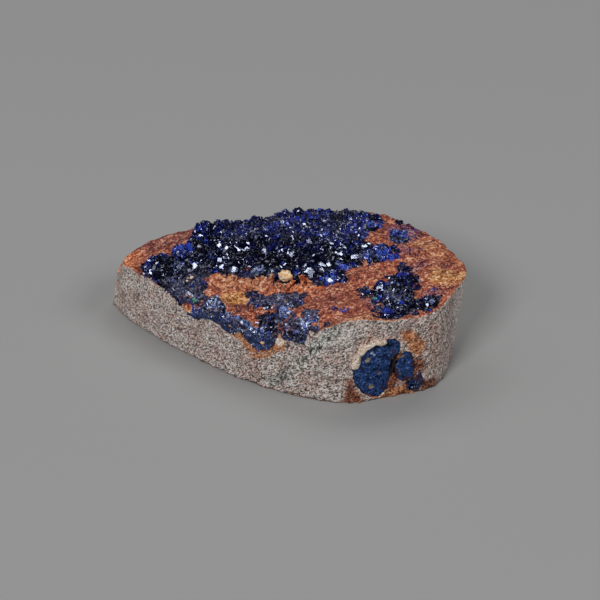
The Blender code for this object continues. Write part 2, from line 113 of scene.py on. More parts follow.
# Stains of the ground wall, laid out along X and up Z as the front shows them.
WALL_STAINS = (
    ("limonite", 1.0, 0.35, ((-7.6, 6.8), (-6.2, 6.4), (-5.5, 5.9), (-4.8, 5.0), (-4.0, 4.5), (-2.9, 4.5),
        (-1.8, 5.3), (-0.7, 6.5), (0.2, 7.3), (0.4, 8.4), (-1.0, 9.0), (-7.4, 9.0))),
    ("limonite", 1.0, 0.7, ((15.6, 10.8), (17.0, 10.8), (18.4, 9.9), (19.3, 8.2), (19.1, 6.5), (18.0, 6.0),
        (16.8, 7.0), (16.1, 8.7))),
    ("limonite", 0.5, 0.5, ((9.0, 5.2), (9.0, 8.0), (10.2, 10.3), (12.2, 10.9), (14.8, 10.2), (14.4, 9.2),
        (12.0, 10.1), (10.5, 9.2), (9.6, 7.0))),
    ("hematite", 1.0, 0.6, ((15.4, 7.8), (17.1, 6.7), (19.1, 5.8), (19.6, 3.8), (18.4, 2.9), (16.9, 2.0),
        (15.4, 2.1), (14.6, 0.9), (13.7, 1.4), (14.3, 3.7), (14.5, 6.3), (14.1, 7.7))),
    ("limonite", 1.3, 0.5, ((13.2, 0.9), (15.2, 1.9), (17.6, 1.6), (18.6, -0.5), (12.4, -0.5))),
    ("hematite", 1.0, 0.7, ((18.6, 2.4), (21.2, 1.8), (21.6, -0.5), (18.2, -0.5))),
    ("hematite", 0.55, 2.0, ((19.0, 11.0), (22.4, 11.4), (22.6, 5.0), (20.6, 2.6), (19.4, 4.0))),
    ("hematite", 1.1, 1.0, ((7.6, -0.5), (11.9, -0.5), (10.2, 2.4), (9.8, 4.4), (8.4, 4.2))),
    # The hollow stains paint the darkness of shade into the gap beside the largest mass and into the foot of
    # the crack: painted shade.
    ("hollow", 1.5, 0.4, ((14.1, 7.8), (15.1, 7.6), (15.4, 6.2), (15.0, 4.4), (14.6, 3.4), (14.2, 4.6))),
    ("hematite", 1.7, 0.3, ((14.1, 4.4), (15.0, 4.4), (15.6, 2.8), (15.2, 1.4), (14.0, 1.2), (13.6, 2.2))),
    ("hollow", 0.5, 0.8, ((-2.2, 1.0), (-1.0, 0.6), (1.4, 3.4), (0.4, 3.8))),
    ("crack", 1.0, 0.9, ((5.8, 12.4), (8.4, 12.4), (6.2, 9.4), (2.4, 4.8), (-1.4, 0.2), (-2.8, 1.0),
        (1.0, 5.0), (3.6, 9.0))),
    # The far right end of the wall is painted paler where more light falls on it: painted light.
    ("pale", 0.8, 1.2, ((23.2, 13.0), (25.6, 13.4), (25.6, 3.0), (23.4, 3.0))),
    ("pale", 0.9, 1.6, ((3.0, 9.4), (6.0, 12.6), (10.6, 13.4), (9.4, 9.6), (6.4, 8.4), (4.2, 6.6))),
    ("rind", 1.5, 0.15, ((-1.1, 9.3), (0.1, 9.1), (0.4, 8.6), (-0.4, 7.7), (-0.8, 8.1))),
    ("azurite", 1.8, 0.15, ((-14.0, 8.0), (-13.4, 6.9), (-12.4, 6.7), (-10.7, 7.6), (-9.7, 7.9),
        (-8.8, 7.7), (-7.8, 7.2), (-6.9, 7.1), (-6.2, 7.7), (-5.6, 7.5), (-4.9, 6.9), (-4.1, 6.4),
        (-3.1, 6.0), (-2.3, 6.6), (-1.5, 7.5), (-1.0, 8.2), (-1.0, 12.0), (-14.0, 12.0))),
    ("azurite", 1.8, 0.15, ((0.0, 9.0), (1.0, 8.9), (1.8, 8.9), (2.6, 9.1), (3.2, 9.7), (3.4, 12.0),
        (-0.2, 12.0))),
)

# Lumps of limonite that stand out of the wall: place along X, height, radius.
WALL_LUMPS = ((17.4, 9.5, 0.5), (17.5, 7.4, 0.45), (18.1, 6.5, 0.4), (16.5, 8.9, 0.35), (16.0, 1.4, 0.5),
              (14.8, 0.8, 0.4))

# The cream rind that stands along the upper left of the largest mass of azurite in the wall.
RIND_RUN = ((9.6, 6.2), (9.6, 6.9), (10.0, 8.0), (10.9, 9.3), (12.2, 9.9), (13.4, 9.6), (14.4, 8.9))
RIND_WIDTH = 0.64


def linear(colour):
    """A colour of eight-bit sRGB hex digits as linear red, green, blue and alpha."""
    parts = [int(colour[i:i + 2], 16) / 255 for i in (1, 3, 5)]
    return [p / 12.92 if p <= 0.04045 else ((p + 0.055) / 1.055) ** 2.4 for p in parts] + [1.0]


def add(tree, kind, inputs=None, stops=(), **settings):
    """Add a node: its settings, its colour stops, and what its inputs are set to or linked from."""
    made = tree.nodes.new("ShaderNode" + kind)
    for name, value in settings.items():
        setattr(made, name, value)
    for name, value in (inputs or {}).items():
        if isinstance(value, bpy.types.NodeSocket):
            tree.links.new(value, made.inputs[name])
        else:
            made.inputs[name].default_value = value
    for number, (place, colour) in enumerate(stops):
        ramp = made.color_ramp.elements
        if number == 0:
            ramp.remove(ramp[1])
        stop = ramp[0] if number == 0 else ramp.new(place)
        stop.position = place
        stop.color = linear(colour)
    return made


def new_material(name):
    """A named material with a Principled shader, and coordinates in millimetres."""
    material = bpy.data.materials.new(name)
    material.use_nodes = True
    tree = material.node_tree
    place = add(tree, "TexCoord")
    in_mm = add(tree, "Mapping", {"Vector": place.outputs["Object"], "Scale": (1 / MM, 1 / MM, 1 / MM)})
    return material, tree, tree.nodes["Principled BSDF"], in_mm.outputs["Vector"]


def copy_of_node(name):
    """A node's solid in millimetres, with its loose triangles merged."""
    mesh = bmesh.new()
    mesh.from_mesh(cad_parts[name].data)
    bmesh.ops.scale(mesh, vec=(1 / MM, 1 / MM, 1 / MM), verts=mesh.verts)
    bmesh.ops.remove_doubles(mesh, verts=mesh.verts, dist=0.001)
    mesh.normal_update()
    return mesh


def refine(mesh, step, chosen):
    """Halve the chosen edges until none is longer than the step, the longest first."""
    limit = max(e.calc_length() for e in mesh.edges)
    while limit > step:
        limit = max(limit / 1.4, step)
        edges = [e for e in mesh.edges if e.calc_length() > limit and chosen(e)]
        bmesh.ops.subdivide_edges(mesh, edges=edges, cuts=1)
        bmesh.ops.triangulate(mesh, faces=[f for f in mesh.faces if len(f.verts) > 3])
    mesh.normal_update()


def soften(mesh, verts, rounds):
    """Move vertices towards the middle of their neighbours, a few times over."""
    for _ in range(rounds):
        bmesh.ops.smooth_vert(mesh, verts=verts, factor=0.5,
                              use_axis_x=True, use_axis_y=True, use_axis_z=True)


def way_in(places, outline):
    """How far plane places lie inside an outline, negative outside it."""
    inside = np.zeros(len(places), bool)
    nearest = np.full(len(places), 1e9)
    for i, end in enumerate(outline):
        a = np.array(outline[i - 1])
        b = np.array(end)
        run = b - a
        share = np.clip((places - a) @ run / (run @ run), 0, 1)
        nearest = np.minimum(nearest, np.linalg.norm(a + share[:, None] * run - places, axis=1))
        crosses = (a[1] > places[:, 1]) != (b[1] > places[:, 1])
        slope = run[0] / run[1] if run[1] else 0.0
        inside ^= crosses & (places[:, 0] < a[0] + (places[:, 1] - a[1]) * slope)
    return np.where(inside, nearest, -nearest)


def smooth_step(values):
    """Ease numbers from 0 to 1, held at both ends."""
    t = np.clip(values, 0, 1)
    return t * t * (3 - 2 * t)


def waves(places, size, octaves, seed=0.0):
    """Fractal noise at each place, about -1 to 1, with lumps of a given size."""
    shift = Vector((seed, 2.3 * seed, -seed))
    return np.array([noise.fractal(Vector(p) / size + shift, 1.0, 2.1, octaves) for p in places])


def grains(places, size):
    """Rounded grains of a given size at each place, 0 between them and about 1 on top."""
    return np.array([1 - noise.voronoi(Vector(p) / size)[0][0] for p in places])


def paint(data, name, values):
    """Store one number for each vertex, for the materials to read."""
    data.attributes.new(name, "FLOAT", "POINT").data.foreach_set("value", np.asarray(values, np.float32))


def finish_piece(mesh, name, materials, nodes=()):
    """Turn a mesh in millimetres into a piece in metres, which rides on the specimen's one body."""
    bmesh.ops.scale(mesh, vec=(MM, MM, MM), verts=mesh.verts)
    data = bpy.data.meshes.new(name)
    mesh.to_mesh(data)
    mesh.free()
    for material in materials:
        data.materials.append(material)
    piece = bpy.data.objects.new(name, data)
    bpy.context.scene.collection.objects.link(piece)
    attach(piece, "root")
    if nodes:
        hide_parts(*nodes)
    return piece


def stain_masks(places, top):
    """The share of each stain at each vertex of the stone."""
    count = len(places)
    names = ("limonite", "hematite", "pale", "orange", "crack", "rind", "azurite", "hollow")
    masks = {name: np.zeros(count) for name in names}
    ragged = 0.8 * waves(places, 1.6, 4, 5.0)
    for name, strength, soft, outline in TOP_STAINS:
        way = way_in(places[:, :2], outline) + ragged
        masks[name] = np.maximum(masks[name], top * strength * smooth_step(0.5 + way / soft / 2))
    front = places[:, 1] < 0
    for name, strength, soft, outline in WALL_STAINS:
        way = way_in(places[:, [0, 2]], outline) + 0.5 * ragged
        share = (1 - top) * front * strength * smooth_step(0.5 + way / soft / 2)
        masks[name] = np.maximum(masks[name], share)
    return masks


def rind_share(places):
    """How much of the cream rind there is at each place of the front wall."""
    nearest = np.full(len(places), 1e9)
    flat = places[:, [0, 2]]
    for start, end in zip(RIND_RUN, RIND_RUN[1:]):
        a = np.array(start)
        run = np.array(end) - a
        share = np.clip((flat - a) @ run / (run @ run), 0, 1)
        nearest = np.minimum(nearest, np.linalg.norm(a + share[:, None] * run - flat, axis=1))
    reach = RIND_WIDTH * (1.0 + 0.4 * waves(places, 1.2, 3, 9.0))
    return (places[:, 1] < 0) * smooth_step(1.8 * (1 - nearest / reach))


def lump_share(places):
    """How far each place of the front wall lies up one of its limonite lumps."""
    share = np.zeros(len(places))
    for x, z, radius in WALL_LUMPS:
        way = np.hypot(places[:, 0] - x, places[:, 2] - z) / radius
        share = np.maximum(share, radius * np.sqrt(np.clip(1 - way ** 2, 0, 1)))
    return (places[:, 1] < 0) * share


GROUND, NATURAL, SAWN = range(3)


def make_stone_mesh():
    """The stone, finely divided for its relief, and the material of each face."""
    mesh = copy_of_node("matrix")
    low = min(v.co.z for v in mesh.verts)
    for face in mesh.faces:
        face.material_index = NATURAL if face.normal.z > RIM_SHARPNESS else GROUND
        if face.normal.z < -0.9 and face.calc_center_median().z < low + 0.1:
            face.material_index = SAWN

    def off_base(edge):
        return any(f.material_index != SAWN for f in edge.link_faces)

    refine(mesh, COARSE_STEP, off_base)
    open_top = [v for v in mesh.verts if all(f.material_index == NATURAL for f in v.link_faces)]
    soften(mesh, open_top, 3)
    refine(mesh, FINE_STEP, off_base)

    def in_lumpy_wall(edge):
        x, y, z = (edge.verts[0].co + edge.verts[1].co) / 2
        off_crack = abs(CRACK_WAY[1] * (x - CRACK_FOOT[0]) - CRACK_WAY[0] * (z - CRACK_FOOT[1]))
        along_crack = off_crack < CRACK_REACH and x > CRACK_LEFT
        around_masses = MASSES_SPAN[0] < x < MASSES_SPAN[1] and z < MASSES_TOP
        return y < 0 and (along_crack or around_masses) and off_base(edge)

    refine(mesh, FINEST_STEP, in_lumpy_wall)
    return mesh


stone_mesh = make_stone_mesh()
stone_mesh.verts.ensure_lookup_table()
stone_places = np.array([v.co for v in stone_mesh.verts])
stone_normals = np.array([v.normal for v in stone_mesh.verts])
stone_kinds = [{f.material_index for f in v.link_faces} for v in stone_mesh.verts]
on_top = np.array([NATURAL in kinds for kinds in stone_kinds], float)
on_rim = np.array([NATURAL in kinds and GROUND in kinds for kinds in stone_kinds])
on_base = np.array([SAWN in kinds for kinds in stone_kinds])

masks = stain_masks(stone_places, on_top)
# The wall is painted dark red-brown along its lowest 0.4 millimetres.
masks["hematite"] = np.maximum(masks["hematite"], 0.9 * smooth_step(1.6 - stone_places[:, 2] / 0.25))
ridge = (1 - on_top) * rind_share(stone_places)
lumps = (1 - on_top) * lump_share(stone_places)
masks["rind"] = np.maximum(masks["rind"], np.maximum(ridge, 0.12 * smooth_step(2 * lumps)))
strokes = waves(stone_places / np.array((0.4, 0.7, 1.0)), 0.9, 3, 3.0)
# The pits along the crack are also painted near black through the hollow mask: painted shade in them.
pits = masks["crack"] * smooth_step(3.2 * strokes - 0.25)
masks["hollow"] = np.maximum(masks["hollow"], pits)

top_rise = TOP_RELIEF * waves(stone_places, 2.4, 3)
lengthened = Matrix.Diagonal((1 / STREAK_LENGTH, 1.0, 1.0))
along_streaks = np.array(Matrix.Rotation(STREAK_TURN, 3, "Z") @ lengthened)
top_rise += STREAK_RELIEF * waves(stone_places @ along_streaks, 1.0, 3, 4.0)
top_rise += GRAIN_RELIEF * (grains(stone_places, 1.6 * GRAIN_SIZE) - 0.5)
rim_tree = KDTree(int(on_rim.sum()))
for number in np.flatnonzero(on_rim):
    rim_tree.insert((*stone_places[number, :2], 0.0), int(number))
rim_tree.balance()
rim_below = np.array([rim_tree.find((p[0], p[1], 0.0))[1] for p in stone_places])
below_rim = np.clip(stone_places[:, 2] / stone_places[rim_below, 2], 0, 1)
climb = np.where(on_top > 0, top_rise, top_rise[rim_below] * below_rim ** 6)
proud = WALL_RELIEF * waves(stone_places, GRAIN_SIZE, 2, 7.0) - PIT_DEPTH * pits + RIND_PROUD * ridge
proud += LUMP_PROUD * np.maximum(masks["limonite"], masks["hematite"]) * waves(stone_places, 0.9, 3, 8.0)
hollows = np.clip(masks["hollow"] - pits, 0, 1)
proud += lumps * (1 + 0.4 * waves(stone_places, 0.5, 2, 1.0)) - HOLLOW_DEPTH * hollows
proud = np.where((on_top > 0) | on_base, 0.0, proud)
climb = np.where(on_base, 0.0, climb)
moved = stone_places + stone_normals * proud[:, None]
moved[:, 2] += climb
for vertex, place in zip(stone_mesh.verts, moved):
    vertex.co = place
stone_mesh.normal_update()


def tint_ramps(tree, value, stops, ramps):
    """One colour ramp for each mask, its colours at the same stops of a value."""
    return {mask: add(tree, "ValToRGB", {"Fac": value}, tuple(zip(stops, colours))).outputs["Color"]
            for mask, colours in ramps.items()}


def lay_stains(tree, last, fine, tearing, tints):
    """Lay stains over a colour, each where its mask says, with edges torn by a fine pattern."""
    centred = add(tree, "Math", {0: fine, 1: 0.5}, operation="SUBTRACT")
    for mask, tint in tints.items():
        share = add(tree, "Attribute", attribute_name=mask).outputs["Fac"]
        torn = add(tree, "Math", {0: centred.outputs[0], 1: tearing, 2: share}, operation="MULTIPLY_ADD")
        strength = add(tree, "Math", {0: torn.outputs[0], 1: share}, operation="MULTIPLY", use_clamp=True)
        last = add(tree, "Mix", {0: strength.outputs[0], 6: last, 7: tint}, data_type="RGBA").outputs[2]
    return last


def dress(tree, shader, colour, settings, bump=None):
    """Link a shader's colour and its bump, a height with its strength and depth, and set its other inputs."""
    tree.links.new(colour, shader.inputs["Base Color"])
    if bump:
        height, strength, depth = bump
        relief = add(tree, "Bump", {"Strength": strength, "Distance": depth * MM, "Height": height})
        tree.links.new(relief.outputs["Normal"], shader.inputs["Normal"])
    for name, value in settings.items():
        shader.inputs[name].default_value = value


def make_ground_sandstone():
    """Sandstone ground flat on a wheel: matte, each quartz grain cut through with its own grey or pink."""
    material, tree, shader, place = new_material("ground sandstone")
    along = add(tree, "Mapping", {"Vector": place, "Rotation": (0.0, -GRIND_TURN, 0.0),
                                  "Scale": (GRIND_LENGTH, 1.0, 1.0)}, vector_type="TEXTURE")
    along = along.outputs["Vector"]
    grain = add(tree, "TexVoronoi", {"Vector": along, "Scale": 1.35 / GRAIN_SIZE})
    fine = add(tree, "TexNoise", {"Vector": along, "Scale": 5.0, "Detail": 4.0, "Roughness": 0.75})
    shade = add(tree, "SeparateColor", {"Color": grain.outputs["Color"]})
    mixed = add(tree, "Mix", {0: 0.42, 2: shade.outputs["Red"], 3: fine.outputs["Fac"]}, data_type="FLOAT")
    colour = add(tree, "ValToRGB", {"Fac": mixed.outputs[0]}, (
        (0.27, "#4a4341"), (0.385, "#938883"), (0.5, "#c3b7b2"), (0.615, "#e4dad5"), (0.73, "#fffcfa")))
    tone = add(tree, "ValToRGB", {"Fac": shade.outputs["Green"]}, (
        (0.0, "#e2ebe8"), (0.45, "#fdfeff"), (0.8, "#ffefe8"), (1.0, "#f2c6b2")))
    toned = add(tree, "Mix", {0: 0.8, 6: colour.outputs["Color"], 7: tone.outputs["Color"]},
                data_type="RGBA", blend_type="MULTIPLY")
    patch = add(tree, "TexNoise", {"Vector": place, "Scale": 0.32, "Detail": 4.0, "Roughness": 0.6})
    patch_shade = add(tree, "ValToRGB", {"Fac": patch.outputs["Fac"]}, (
        (0.36, "#d6cac5"), (0.44, "#f6e4df"), (0.52, "#faf6f4"), (0.64, "#ffffff")))
    base = add(tree, "Mix", {0: 0.9, 6: toned.outputs[2], 7: patch_shade.outputs["Color"]},
               data_type="RGBA", blend_type="MULTIPLY")
    # The hollow tint, nearly black, is painted shade in the hollows and pits of the wall.
    stains = {
        "pale": ("#988c86", "#ddd2cc", "#fffcf8"),
        "crack": ("#444642", "#acaca6", "#f8f6ee"), "limonite": ("#6c3818", "#bc7040", "#f0b484"),
        "hematite": ("#2c120c", "#703624", "#b87450"), "rind": ("#d8b08c", "#ffeedc", "#fffaf2"),
        "azurite": ("#030716", "#0a1b48", "#20447e"), "hollow": ("#080404", "#1c0e0a", "#40221a"),
    }
    tints = tint_ramps(tree, mixed.outputs[0], (0.28, 0.5, 0.74), stains)
    stained = lay_stains(tree, base.outputs[2], fine.outputs["Fac"], 1.4, tints)
    dress(tree, shader, stained, {"Roughness": 0.85, "IOR": 1.54}, (mixed.outputs[0], 0.8, 0.06))
    return material


def make_stained_fracture():
    """The natural fracture face: earthy iron oxides coat the grains, mottled from ochre to dark red."""
    material, tree, shader, place = new_material("iron-stained fracture face")
    streaky = add(tree, "Mapping", {"Vector": place, "Rotation": (0.0, 0.0, STREAK_TURN),
                                    "Scale": (STREAK_LENGTH, 1.0, 1.0)}, vector_type="TEXTURE")
    grain = add(tree, "TexVoronoi", {"Vector": place, "Scale": 0.9 / GRAIN_SIZE})
    fine = add(tree, "TexNoise", {"Vector": streaky.outputs["Vector"], "Scale": 2.0, "Detail": 5.0,
                                  "Roughness": 0.8})
    broad = add(tree, "TexNoise", {"Vector": place, "Scale": 0.6, "Detail": 4.0, "Roughness": 0.6})
    shade = add(tree, "SeparateColor", {"Color": grain.outputs["Color"]})
    mixed = add(tree, "Mix", {0: 0.32, 2: fine.outputs["Fac"], 3: shade.outputs["Red"]}, data_type="FLOAT")
    drift = add(tree, "Mix", {0: 0.3, 2: mixed.outputs[0], 3: broad.outputs["Fac"]}, data_type="FLOAT")
    ramps = {
        "rust": ("#38121a", "#7c3429", "#a8503a", "#cc7c58", "#f2c4a4"),
        "pale": ("#742c1a", "#c07048", "#e69c6c", "#f8c094", "#ffecd0"),
        "hematite": ("#2a1418", "#5c2c2c", "#82423c", "#a66258", "#deac94"),
        "orange": ("#5c200e", "#ae5230", "#da7446", "#f49a68", "#fed4ae"),
        "limonite": ("#54301a", "#a0602c", "#d28c48", "#eab478", "#fbe0b4"),
        "azurite": ("#0a1034", "#1c2a70", "#34468a", "#5c70ac", "#a4b0d8"),
        "crusted": ("#020308", "#090c24", "#181c46", "#303668", "#70749c"),
    }
    tints = tint_ramps(tree, drift.outputs[0], (0.35, 0.44, 0.5, 0.57, 0.65), ramps)
    stained = lay_stains(tree, tints.pop("rust"), fine.outputs["Fac"], 1.6, tints)
    dress(tree, shader, stained, {"Roughness": 0.9, "IOR": 1.54}, (mixed.outputs[0], 1.0, 0.13))
    return material


def make_sawn_sandstone():
    """The sawn base: the same bare grain, crossed by the fine arcs of the saw."""
    material, tree, shader, place = new_material("sawn sandstone")
    grain = add(tree, "TexVoronoi", {"Vector": place, "Scale": 1 / GRAIN_SIZE})
    shade = add(tree, "SeparateColor", {"Color": grain.outputs["Color"]})
    colour = add(tree, "ValToRGB", {"Fac": shade.outputs["Red"]}, (
        (0.0, "#6f625c"), (0.35, "#94847c"), (0.7, "#ab9b92"), (1.0, "#cfc3b8")))
    arcs = add(tree, "TexWave", {"Vector": place, "Scale": 0.25, "Distortion": 0.6}, wave_type="RINGS",
               rings_direction="Z")
    height = add(tree, "Mix", {0: 0.4, 2: shade.outputs["Red"], 3: arcs.outputs["Fac"]}, data_type="FLOAT")
    dress(tree, shader, colour.outputs["Color"], {"Roughness": 0.88}, (height.outputs[0], 0.4, 0.04))
    return material


stone_tree = BVHTree.FromBMesh(stone_mesh)
sandstone = [make_ground_sandstone(), make_stained_fracture(), make_sawn_sandstone()]
stone = finish_piece(stone_mesh, "sandstone_slab", sandstone, ["matrix"])
for mask_name, mask in masks.items():
    paint(stone.data, mask_name, mask)
stone.data.shade_smooth()
stone.data.set_sharp_from_angle(angle=math.radians(55))


# The main druse: azurite, a basic copper carbonate, which grew out of solution straight onto the stone.
# Its crystals are thick slabs with slanting ends, grown into each other, glassy,
# so deep a blue that they look black, and bright blue only where they are thin.
CRYSTAL_SHAPES = 20      # different crystals, each used many times
BROAD_SHAPES = 8         # different broad ones
BROAD_CUTS = 3           # slanting faces of a broad one
CRYSTAL_RISE = (-0.15, 0.15)  # how far a crystal's middle stands out of the crust, as a share of its size
FORM_STEP = 0.6          # longest edge of a crust's form under its crystals
FORM_SINK = 0.2          # how far the crust lies lower than the tips of its crystals
FORM_SWELLS = (          # where the crust rises or sinks a little more: plan place, radius and rise
    (-12.2, 11.0, 2.0, 0.6), (-4.4, 13.2, 1.4, 0.5), (-2.4, 14.0, 1.5, -0.9), (1.8, 14.0, 1.5, 0.6),
    (3.6, 13.2, 1.2, 0.3), (8.0, 13.8, 2.2, 0.5), (11.4, 13.6, 2.0, 0.7), (-13.2, -1.0, 1.6, -0.3),
    (-10.9, 11.2, 1.6, 0.7), (-8.2, 12.2, 1.5, 0.6), (0.9, 13.6, 1.2, 0.3), (-9.6, -4.5, 1.5, 0.6),
    (-18.2, 3.6, 1.4, 0.4),
)
THIN_EDGE = 1.2          # width of the thin, bright blue border of a crust
BARE_BORDER = 0.3        # how far within the border the outermost crystals stand
OVER_RIM = 1.3           # how far crystals hang down over the ground wall
STONE_GAP = 0.34         # how far the crust's underside goes down to close on the stone
CUT_STEP = 0.3           # longest edge of the azurite that is ground flush with the wall
TO_THE_LIGHT = Vector((-0.19, -0.78, 0.59))  # the way that the glittering crystals' broad faces look
CRUST_TRIES = 120000     # places tried for the crystals of a crust
WALL_TRIES = 6000        # places tried for those that hang over the wall
STRAY_SPREAD = 0.25      # how far outside the border the strays stand
BARE_SITE = 0.5          # share of showing stone from which no crystal grows
BARE_FACE = 0.4          # share from which the crust's own face shows stone
ABOVE_ALL = 40.0         # a height above every piece

# Where the crystals are dulled by clay and limonite: plan place, radius and strength.
DUSTY_PATCHES = (
    (-11.6, -1.8, 3.0, 0.55), (-12.8, -3.4, 2.2, 0.5), (-14.6, -1.6, 1.8, 0.5), (-2.9, -3.9, 1.2, 1.0),
    (-1.4, -4.6, 1.2, 0.7), (-0.2, -4.9, 1.5, 1.0), (1.3, -4.9, 1.4, 1.0), (-0.6, -6.0, 1.2, 0.8),
    (3.4, -10.6, 1.6, 0.9), (1.2, -10.8, 1.4, 0.9), (-6.8, -8.6, 1.3, 0.8), (-4.6, -10.4, 1.3, 0.6),
    (-3.2, -10.8, 1.1, 0.4), (0.3, -8.8, 1.0, 0.45), (15.0, -9.6, 1.4, 0.5), (1.0, 7.5, 1.8, 0.2),
    (-6.0, 9.8, 3.2, 0.12), (1.0, 11.4, 4.5, 0.12), (8.0, 11.0, 4.5, 0.15), (11.0, 8.0, 2.4, 0.15),
)

# Where the crystals let more light through: plan place, radius and strength.
BLUE_PATCHES = (
    (-19.1, 2.8, 1.2, 0.6), (-18.0, 4.3, 1.2, 0.7), (-14.5, 6.8, 1.6, 1.1), (-16.5, 5.6, 1.3, 0.9),
    (-14.0, 4.5, 1.0, 0.6), (-12.2, 9.4, 1.4, 0.7), (-5.1, 10.4, 1.2, 0.6), (-7.9, 9.6, 1.6, 0.4),
    (0.0, 13.0, 2.2, 0.6), (5.0, 13.4, 3.0, 0.5), (10.5, 11.6, 2.6, 0.55), (6.4, 7.6, 2.0, 0.4),
    (13.3, 9.4, 1.6, 0.8), (8.6, 5.6, 1.4, 0.4), (7.4, -1.8, 1.0, 0.5), (6.6, -3.4, 1.2, 1.0),
    (8.6, -0.9, 1.3, 1.1), (9.4, -0.6, 1.3, 0.8), (11.6, -0.2, 1.3, 0.9), (14.6, 0.8, 1.6, 1.0),
    (1.6, -1.6, 0.8, 0.7), (13.0, 2.4, 1.5, 0.6), (15.6, 8.8, 1.2, 0.8), (18.0, 8.4, 1.2, 0.8),
    (16.8, 7.0, 0.8, 0.6), (12.6, 10.6, 2.0, 0.9), (-8.0, 10.6, 3.0, 0.35), (-2.0, 11.6, 4.0, 0.35),
    (4.0, 11.4, 4.5, 0.4), (10.0, 9.8, 4.0, 0.45), (9.0, 6.0, 3.0, 0.3), (-11.4, -0.6, 0.8, 0.7),
    (-12.6, -2.4, 0.6, 0.8), (-7.0, -8.4, 1.1, 1.2), (-4.6, -4.3, 0.8, 0.45), (-4.0, -2.4, 0.7, 0.45),
    (2.1, -7.0, 0.9, 0.5), (-3.2, -5.4, 0.6, 0.4), (-12.2, -5.6, 0.8, 1.0), (-2.6, -12.4, 1.2, 0.7),
    (3.6, -12.8, 1.0, 0.8), (12.6, -9.8, 0.7, 1.0), (17.0, -4.6, 1.4, 0.6), (13.6, -13.6, 1.2, 0.7),
    (19.6, -8.4, 1.2, 0.6),
)

# Where the crystals are painted pale blue and silvery white, partly a painted sheen of the light that they
# reflect: plan place, radius and strength.
PALE_PATCHES = (
    (-7.0, 0.6, 0.8, 0.7), (-5.2, 0.5, 0.8, 0.6), (-3.6, 0.2, 0.9, 0.8), (-2.0, -0.8, 0.8, 0.7),
    (6.6, -3.6, 0.6, 0.7), (-9.5, -5.2, 1.2, 0.6), (-7.4, -8.3, 0.9, 1.1), (-5.6, -9.5, 1.2, 1.2),
    (-3.9, -11.6, 1.2, 1.2), (-2.2, -12.3, 0.8, 1.0), (0.2, -8.8, 1.5, 1.4), (1.2, -10.8, 1.2, 1.0),
    (2.6, -12.6, 1.2, 1.2), (8.8, -0.8, 0.9, 0.4), (2.9, -13.8, 0.7, 1.0), (12.0, 0.6, 1.0, 0.5),
    (13.6, 1.4, 1.0, 0.4), (12.8, 10.2, 1.8, 0.6), (-14.8, 1.6, 0.8, 0.5),
)

# Where the stone shows through a crust: plan place and radius, each at full strength.
STONE_SHOWING = tuple((x, y, radius, 1.0) for x, y, radius in (
    (-3.9, -0.9, 0.6), (-3.0, -0.8, 0.7), (-2.0, -1.5, 0.7), (-0.9, -2.1, 0.6), (0.1, -3.1, 0.5),
    (8.9, -2.6, 0.6), (9.5, -1.5, 0.8), (10.4, -0.7, 0.8), (11.4, -0.6, 0.7), (12.4, -0.6, 0.5),
    (2.9, -3.6, 0.4), (3.8, -3.8, 0.4), (1.4, -3.0, 0.4), (0.8, -3.2, 0.4), (1.9, -3.0, 0.4),
    (2.5, -3.1, 0.4), (3.3, -3.6, 0.4), (-0.6, -2.6, 0.4), (-3.3, -6.2, 0.8), (-4.7, -5.9, 0.7),
    (-1.5, -5.6, 0.4), (1.0, -8.2, 0.5), (2.0, -8.6, 0.5), (-5.0, -11.0, 0.6), (-6.1, -10.4, 0.5),
    (-3.8, -10.0, 0.5), (-6.6, -7.8, 0.5), (1.4, -11.4, 0.4), (4.2, -13.4, 0.5),
))

# Pale crystals broad enough to be seen one by one, painted pale and silvery as a painted sheen: plan place
# and size.
PALE_CRYSTALS = (
    (0.0, -8.3, 1.0), (0.7, -8.9, 0.8), (-0.3, -9.1, 0.8), (0.4, -9.5, 0.6), (2.7, -12.7, 0.8),
    (3.0, -13.7, 0.6), (-3.8, -11.2, 0.6), (-5.6, -9.4, 0.7), (-7.2, -8.0, 0.6), (-9.3, -4.7, 0.7),
    (-9.5, -5.7, 0.6), (-2.2, -12.0, 0.6), (-6.6, 0.4, 0.5), (-5.3, 0.3, 0.5), (-3.4, 0.1, 0.6),
    (-1.9, -1.0, 0.5), (6.2, -3.4, 0.8), (7.3, -2.8, 0.5), (2.4, -11.2, 0.6), (-7.8, -7.6, 0.6),
    (-6.4, -8.8, 0.7), (-5.0, -10.1, 0.6), (-4.4, -11.0, 0.5), (3.5, -11.6, 0.6), (3.9, -13.0, 0.5),
    (0.9, -8.2, 0.6), (-9.0, -5.2, 0.6), (11.8, 0.4, 0.7), (13.2, 0.8, 0.6), (-12.4, 2.4, 0.6),
    (-14.2, 2.0, 0.6), (12.2, -9.8, 0.5), (15.6, -11.8, 0.6), (20.0, -11.2, 0.6), (-10.2, -5.2, 0.5),
    (-4.6, -10.4, 0.5), (1.6, -12.6, 0.5),
)
PALE_FACING = Vector((0.1, -0.55, 0.83))  # the way that their broad faces look

